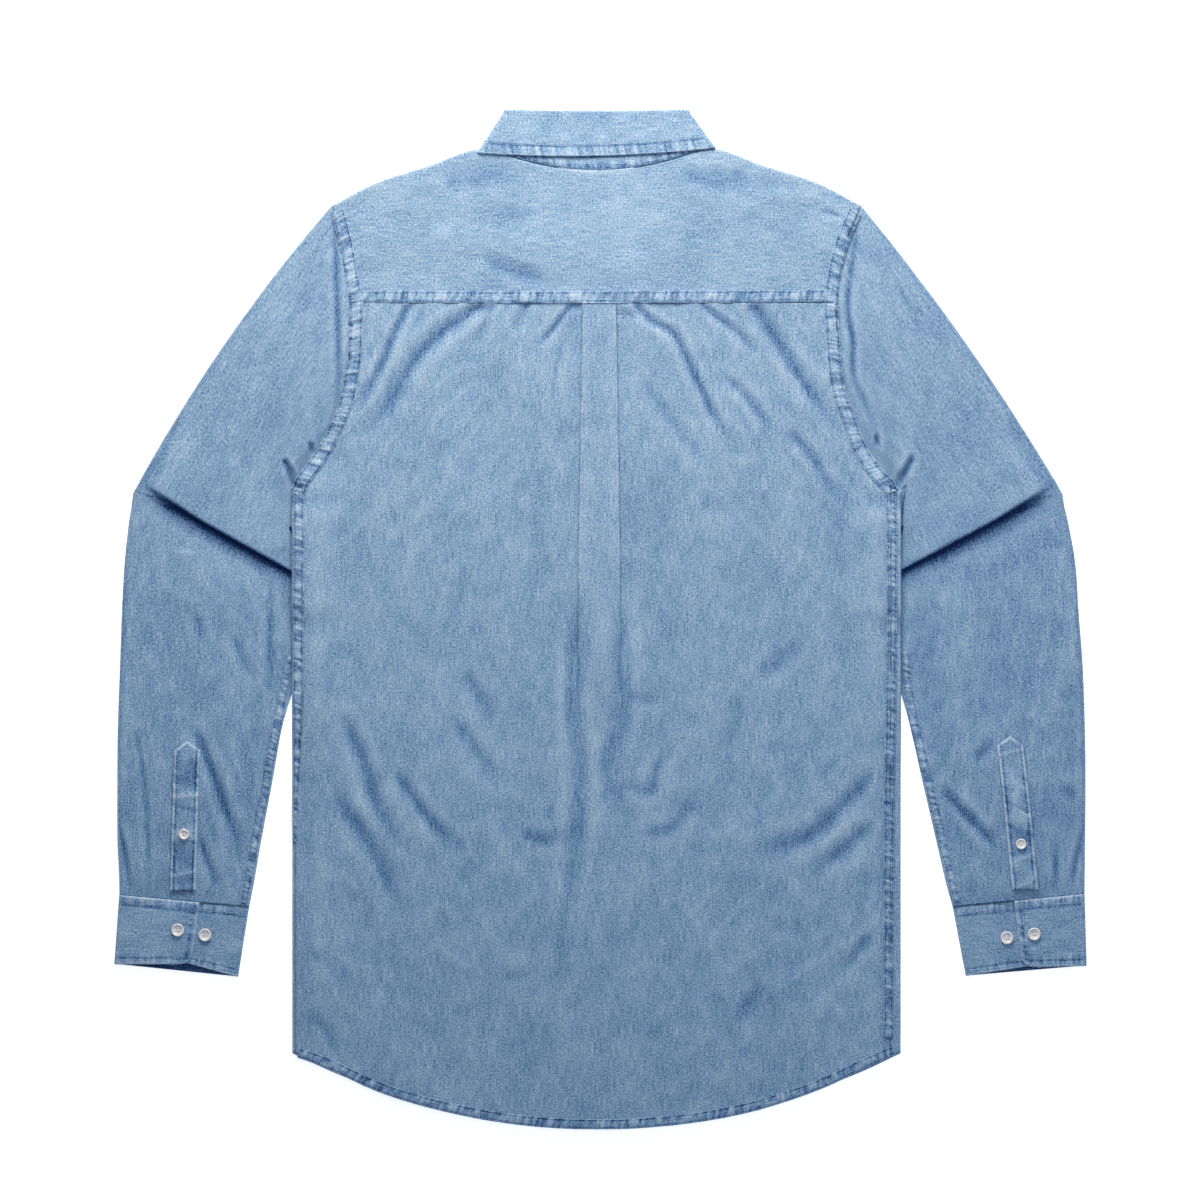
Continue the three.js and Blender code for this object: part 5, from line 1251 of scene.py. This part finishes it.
def button(name, diameter, x, y, z, fine=True):
    """A lathe form with four dents: rings from the middle of the back round the rim to the dish."""
    r, h = diameter / 2, BUTTON_THICK
    around = 64 if fine else 20
    outline = [(0.01, 0), (0.8, 0), (0.95, 0.18), (1, 0.45), (0.98, 0.8), (0.92, 0.97), (0.85, 1.0),
               (0.76, 0.97), (0.68, 0.8), (0.6, 0.66)]
    outline += [(share, 0.6) for share in (np.linspace(0.55, 0.01, 14) if fine else (0.3, 0.01))]
    ring_r, ring_z = np.array(outline).T
    angle = np.linspace(0, 2 * math.pi, around, endpoint=False)
    px = x + r * ring_r[:, None] * np.cos(angle)
    py = y + r * ring_r[:, None] * np.sin(angle)
    pz = np.repeat((z + h * ring_z)[:, None], around, 1)
    for hx, hy in ((1, 1), (1, -1), (-1, 1), (-1, -1)):
        far = np.hypot(px - x - hx * 0.2 * r, py - y - hy * 0.2 * r)
        pz[9:] -= (0.85 * h * 0.6 * (1 - smooth(0.05 * r, 0.15 * r, far)))[9:]
    points = np.stack([px, py, pz], 2).reshape(-1, 3)
    faces = ring_faces(len(outline), around)
    mesh = bpy.data.meshes.new(name)
    mesh.from_pydata((points * MM).tolist(), [], faces)
    mesh.polygons.foreach_set("use_smooth", np.ones(len(faces), bool))
    mesh.materials.append(pearl)
    mesh.update()
    piece = bpy.data.objects.new(name, mesh)
    bpy.context.scene.collection.objects.link(piece)
    return piece


WIDE_BUTTON = 11.4          # diameters
SMALL_BUTTON = 9.4
FRONT_BUTTONS = 7
FRONT_BUTTON_TOP = 305
FRONT_BUTTON_PITCH = 92
CUFF_BUTTONS = {-1: [(-369.7, -272.1), (-346.1, -276.5)], 1: [(379.3, -275.6), (355.7, -279.1)]}
PLACKET_BUTTONS = {-1: (-363.7, -188.1), 1: (367.4, -196.6)}
buttons = {}
for side, word in SIDES.items():
    on_sleeve = surface_of(CUFFS[side], PLACKETS[side], SLEEVES[side])
    seats = {f"cuff_button_{word}_{k}": (WIDE_BUTTON, *seat) for k, seat in enumerate(CUFF_BUTTONS[side], 1)}
    seats[f"placket_button_{word}"] = (SMALL_BUTTON, *PLACKET_BUTTONS[side])
    for node, (diameter, x, y) in seats.items():
        buttons[node] = (diameter, x, y, float(on_sleeve(np.array(x), np.array(y))) + 0.3, True)
for k in range(FRONT_BUTTONS):
    y = FRONT_BUTTON_TOP - FRONT_BUTTON_PITCH * k
    buttons[f"front_button_{k + 1}"] = (WIDE_BUTTON, CENTRE, y, 0.1, False)
button_pieces = {node: button(node + "_pearl", *facts) for node, facts in buttons.items()}
print(len(button_pieces), "buttons")

# %% [markdown]
# ## Stitches
# The lines of stitches are polylines laid on the cloth. Geometry Nodes walks along them at the
# stitch length and sets one short thread at each step, turned along the seam. The result is
# then made into a plain mesh, so the scene carries no live modifier.

# %% Stitch lines
thread, thread_tree, thread_output = new_material("cotton_thread")
thread_shader = add_node(thread_tree, "ShaderNodeBsdfPrincipled", inputs={
    "Base Color": linear("#86a9cf"), "Roughness": 0.7, "Sheen Weight": 0.2})
thread_tree.links.new(thread_shader.outputs["BSDF"], thread_output.inputs["Surface"])

over_all = surface_of(back_piece, yoke_piece, fall_piece, stand_piece, *front_pieces, *SLEEVES.values(),
                      *PLACKETS.values(), *CUFFS.values(), *bands.values())


def beside(line, offset):
    """A drawn line moved sideways by an offset in millimetres."""
    path = drawn_line(from_photo(line), 1.5)
    along = np.gradient(path, axis=0)
    along /= np.linalg.norm(along, axis=1, keepdims=True)
    return path + offset * np.stack([along[:, 1], -along[:, 0]], 1)


stitch_paths = []
for offset in (-3.9, 3.9):
    stitch_paths.append(beside(YOKE_LINE, offset))
    for side in SIDES:
        stitch_paths += [beside(ARMHOLE_LINE[side], offset), beside(SIDE_LINE[side], 0.92 * offset),
                         beside(FOREARM_LINE[side], 0.65 * offset)]
stitch_paths.append(beside(HEM_LINE, 3.4))
FALL_STITCHES = [(484, 141), (547, 145.5), (597, 147.5), (650, 145.5), (706, 139.5)]
STAND_STITCHES = [(502, 151), (530, 161.5), (565, 168.5), (606, 171), (645, 167.5), (675, 160.5), (698, 152)]
stitch_paths += [beside(FALL_STITCHES, 0), beside(STAND_STITCHES, 0)]
CUFF_STITCHES = {
    -1: [[(119.5, 904), (158, 905), (193, 907)], [(192, 904), (192, 930), (192, 946)],
         [(118, 959.5), (150, 959.5), (182, 958.5)], [(199, 908), (225, 912), (246, 916.5)],
         [(199, 961), (220, 968), (235, 972)]],
    1: [[(1019, 905), (1052, 904), (1081, 903)], [(1019, 902), (1019, 930), (1021, 952)],
        [(1026, 962.5), (1055, 962.5), (1083, 961.5)], [(957, 916), (985, 910), (1011, 905)],
        [(968, 971), (1000, 967.5), (1024, 964)]],
}
PLACKET_STITCHES = {
    -1: [[(178.5, 750), (176, 800), (173.5, 850), (172.5, 889)],
         [(200, 757), (198, 810), (195, 850), (194, 889)],
         [(178, 774), (189, 775), (199, 775)], [(178.5, 750), (188.5, 744)], [(188.5, 744), (200, 757)]],
    1: [[(998.5, 752), (1001, 800), (1007, 850), (1012, 889)],
        [(1020, 748), (1026, 790), (1031, 840), (1034.5, 889)],
        [(999, 773), (1010, 772), (1023, 771)], [(998.5, 752), (1009, 739.5)], [(1009, 739.5), (1020, 748)]],
}
for side in SIDES:
    stitch_paths += [beside(line, 0) for line in CUFF_STITCHES[side] + PLACKET_STITCHES[side]]

stitch_points, stitch_edges = [], []
for path in stitch_paths:
    heights = over_all(path[:, 0], path[:, 1]) + 0.05
    first = len(stitch_points)
    stitch_points += [(px * MM, py * MM, pz * MM) for (px, py), pz in zip(path, heights)]
    stitch_edges += [(k, k + 1) for k in range(first, len(stitch_points) - 1)]
stitch_mesh = bpy.data.meshes.new("stitches")
stitch_mesh.from_pydata(stitch_points, stitch_edges, [])
stitches = bpy.data.objects.new("stitches", stitch_mesh)
bpy.context.scene.collection.objects.link(stitches)
print(len(stitch_paths), "lines of stitches")

# %% [markdown]
# The node tree has named inputs. Their values are set by the identifier of the socket that
# carries the name, and the seed is fixed, so the stitches come out the same each time.

# %% A node tree that sews
PITCH = 3.0 * MM          # one stitch and the gap after it
STITCH = 2.2 * MM         # length of the thread that shows
THREAD_RADIUS = 0.3 * MM


def sewing_tree(one_stitch, material):
    """Inputs Lines, Pitch, Swerve and Seed: sets one stitch at each step along the lines."""
    tree = bpy.data.node_groups.new("sew_along_lines", "GeometryNodeTree")
    tree.interface.new_socket("Lines", in_out="INPUT", socket_type="NodeSocketGeometry")
    tree.interface.new_socket("Pitch", in_out="INPUT", socket_type="NodeSocketFloat")
    tree.interface.new_socket("Swerve", in_out="INPUT", socket_type="NodeSocketFloat")
    tree.interface.new_socket("Seed", in_out="INPUT", socket_type="NodeSocketInt")
    tree.interface.new_socket("Stitches", in_out="OUTPUT", socket_type="NodeSocketGeometry")
    given = add_node(tree, "NodeGroupInput").outputs
    curves = add_node(tree, "GeometryNodeMeshToCurve", inputs={"Mesh": given["Lines"]})
    steps = add_node(tree, "GeometryNodeResampleCurve", {"mode": "LENGTH"}, {
        "Curve": curves.outputs["Curve"], "Length": given["Pitch"]})
    tangent = add_node(tree, "GeometryNodeInputTangent")
    turned = add_node(tree, "FunctionNodeAlignRotationToVector", {"axis": "X"}, {
        "Vector": tangent.outputs["Tangent"]})
    swerve_low = add_node(tree, "ShaderNodeMath", {"operation": "MULTIPLY"}, {0: given["Swerve"], 1: -1.0})
    chance = add_node(tree, "FunctionNodeRandomValue", {"data_type": "FLOAT"}, {"Seed": given["Seed"]})
    tree.links.new(swerve_low.outputs[0], chance.inputs[2])
    tree.links.new(given["Swerve"], chance.inputs[3])
    swerve = add_node(tree, "ShaderNodeCombineXYZ", inputs={"Z": chance.outputs[1]})
    as_rotation = add_node(tree, "FunctionNodeEulerToRotation", inputs={"Euler": swerve.outputs["Vector"]})
    rotation = add_node(tree, "FunctionNodeRotateRotation", {"rotation_space": "LOCAL"}, {
        "Rotation": turned.outputs["Rotation"], "Rotate By": as_rotation.outputs["Rotation"]})
    thread_piece = add_node(tree, "GeometryNodeObjectInfo", inputs={"Object": one_stitch})
    placed = add_node(tree, "GeometryNodeInstanceOnPoints", inputs={
        "Points": steps.outputs["Curve"], "Instance": thread_piece.outputs["Geometry"],
        "Rotation": rotation.outputs["Rotation"]})
    real = add_node(tree, "GeometryNodeRealizeInstances", inputs={"Geometry": placed.outputs["Instances"]})
    coloured = add_node(tree, "GeometryNodeSetMaterial", inputs={
        "Geometry": real.outputs["Geometry"], "Material": material})
    result = add_node(tree, "NodeGroupOutput")
    tree.links.new(coloured.outputs["Geometry"], result.inputs["Stitches"])
    return tree


def single_stitch():
    """One short thread along X, thickest in its middle."""
    sides, rings = 6, [(-0.5, 0.15), (-0.38, 0.85), (0, 1.0), (0.38, 0.85), (0.5, 0.15)]
    turns = [k * math.tau / sides for k in range(sides)]
    points = [(STITCH * place, THREAD_RADIUS * size * math.cos(turn), THREAD_RADIUS * size * math.sin(turn))
              for place, size in rings for turn in turns]
    faces = ring_faces(len(rings), sides)
    mesh = bpy.data.meshes.new("one_stitch")
    mesh.from_pydata(points, [], faces)
    mesh.polygons.foreach_set("use_smooth", np.ones(len(faces), bool))
    mesh.update()
    piece = bpy.data.objects.new("one_stitch", mesh)
    bpy.context.scene.collection.objects.link(piece)
    return piece


one_stitch = single_stitch()
sewing = sewing_tree(one_stitch, thread)
modifier = stitches.modifiers.new("sew", "NODES")
modifier.node_group = sewing
wanted = {"Pitch": PITCH, "Swerve": 0.12, "Seed": 7}
for item in sewing.interface.items_tree:
    if item.in_out == "INPUT" and item.name in wanted:
        modifier[item.identifier] = wanted[item.name]
sewn = stitches.evaluated_get(bpy.context.evaluated_depsgraph_get())
plain = bpy.data.meshes.new_from_object(sewn)
stitches.modifiers.remove(modifier)
stitches.data = plain
bpy.data.objects.remove(one_stitch)
print("stitches have", sum(len(p.vertices) - 2 for p in plain.polygons), "triangles")

# %% [markdown]
# ## The pieces and their cuts
# Each drawn piece stands for the solids with the same name. Its flat size is the cut that shows,
# measured the way a pattern maker would, all round where the piece is a tube or lies double.

# %% Outward faces, riding and flat sizes
cloth_pieces = {
    "back_panel": back_piece, "back_yoke": yoke_piece,
    "front_left": front_pieces[0], "front_right": front_pieces[1],
    "collar_stand": stand_piece, "collar_fall": fall_piece}
for side, word in SIDES.items():
    cloth_pieces[f"sleeve_{word}"] = SLEEVES[side]
    cloth_pieces[f"sleeve_placket_{word}"] = PLACKETS[side]
    cloth_pieces[f"cuff_{word}"] = CUFFS[side]

for piece in [*cloth_pieces.values(), *bands.values(), *button_pieces.values(), stitches]:
    shell = bmesh.new()
    shell.from_mesh(piece.data)
    bmesh.ops.recalc_face_normals(shell, faces=shell.faces)
    shell.to_mesh(piece.data)
    shell.free()
    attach(piece, "root")
for node, piece in cloth_pieces.items():
    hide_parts(node)
for node, piece in button_pieces.items():
    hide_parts(node)

# Width and length of the cut in metres, its area, what it lies on, and the pieces sewn on it
CUTS = {
    "back_panel": (0.565, 0.725, 0.368, ["front_left", "front_right"], ["hem", "side_left", "side_right"]),
    "back_yoke": (0.468, 0.190, 0.071, ["front_left", "front_right"],
                  ["yoke", "armhole_left", "armhole_right"]),
    "front_left": (0.293, 0.790, 0.206, ["floor"], []),
    "front_right": (0.293, 0.790, 0.207, ["floor"], []),
    "collar_stand": (0.370, 0.052, 0.0145, ["back_yoke"], []),
    "collar_fall": (0.410, 0.070, 0.0197, ["floor"], []),
    "sleeve_left": (0.490, 0.720, 0.163, ["floor"], ["forearm_left"]),
    "sleeve_right": (0.490, 0.720, 0.169, ["floor"], ["forearm_right"]),
    "sleeve_placket_left": (0.0235, 0.134, 0.0030, ["sleeve_left"], []),
    "sleeve_placket_right": (0.0240, 0.137, 0.0032, ["sleeve_right"], []),
    "cuff_left": (0.253, 0.061, 0.0151, ["floor"], []),
    "cuff_right": (0.256, 0.062, 0.0155, ["floor"], []),
}
for node, (wide, long, area, below, sewn) in CUTS.items():
    print(node, "was cut", wide, "by", long, "m, with", area, "square metres of cloth")

# %% [markdown]
# ## Floor, light and camera
# The table is a plain pale floor. A large soft light beyond the collar grazes the cloth, so
# troughs are shaded on their upper side, and a pale sky fills the rest. The camera hangs
# straight above the middle of the shirt, far enough that the picture is nearly flat.

# %% Floor, light and camera
floor_material, floor_tree, floor_output = new_material("pale_floor")
floor_shader = add_node(floor_tree, "ShaderNodeBsdfPrincipled", inputs={
    "Base Color": linear("#f4f4f3"), "Roughness": 0.9, "Specular IOR Level": 0.1,
    "Emission Color": linear("#ffffff"), "Emission Strength": 0.68})
floor_tree.links.new(floor_shader.outputs["BSDF"], floor_output.inputs["Surface"])
floor_mesh = bpy.data.meshes.new("floor")
FLOOR_HALF, FLOOR_Z = 4, -0.0005
corners = [(sx * FLOOR_HALF, sy * FLOOR_HALF, FLOOR_Z) for sx, sy in ((-1, -1), (1, -1), (1, 1), (-1, 1))]
floor_mesh.from_pydata(corners, [], [(0, 1, 2, 3)])
floor_mesh.materials.append(floor_material)
floor = bpy.data.objects.new("floor", floor_mesh)
bpy.context.scene.collection.objects.link(floor)


def soft_light(name, place, target, size, power, colour):
    """A square area light at place, turned to face target."""
    data = bpy.data.lights.new(name, "AREA")
    data.color = linear(colour)[:3]
    data.size = size
    data.energy = power
    lamp = bpy.data.objects.new(name, data)
    lamp.location = place
    aim = np.array(target) - np.array(place)
    lamp.rotation_euler = (math.atan2(math.hypot(aim[0], aim[1]), -aim[2]), 0, math.atan2(-aim[0], aim[1]))
    bpy.context.scene.collection.objects.link(lamp)


soft_light("window_beyond_collar", (-0.12, 1.28, 0.75), (0, 0.05, 0), 0.7, 30, "#ffeedb")
soft_light("overhead", (0.9, 0.3, 1.9), (0, 0, 0), 1.2, 9, "#f4f7ff")
world = bpy.data.worlds.new("sky")
world.use_nodes = True
world.node_tree.nodes["Background"].inputs["Color"].default_value = linear("#cfe0f6")
world.node_tree.nodes["Background"].inputs["Strength"].default_value = 0.35
bpy.context.scene.world = world
bpy.context.scene.view_settings.view_transform = "Standard"

camera_data = bpy.data.cameras.new("camera")
camera_data.lens = 120
camera_data.sensor_width = 36
camera_data.clip_end = 20
camera = bpy.data.objects.new("camera", camera_data)
camera.location = (-0.0004, 0.0166, 3.505)
bpy.context.scene.collection.objects.link(camera)
bpy.context.scene.camera = camera
print("camera at", tuple(camera.location))
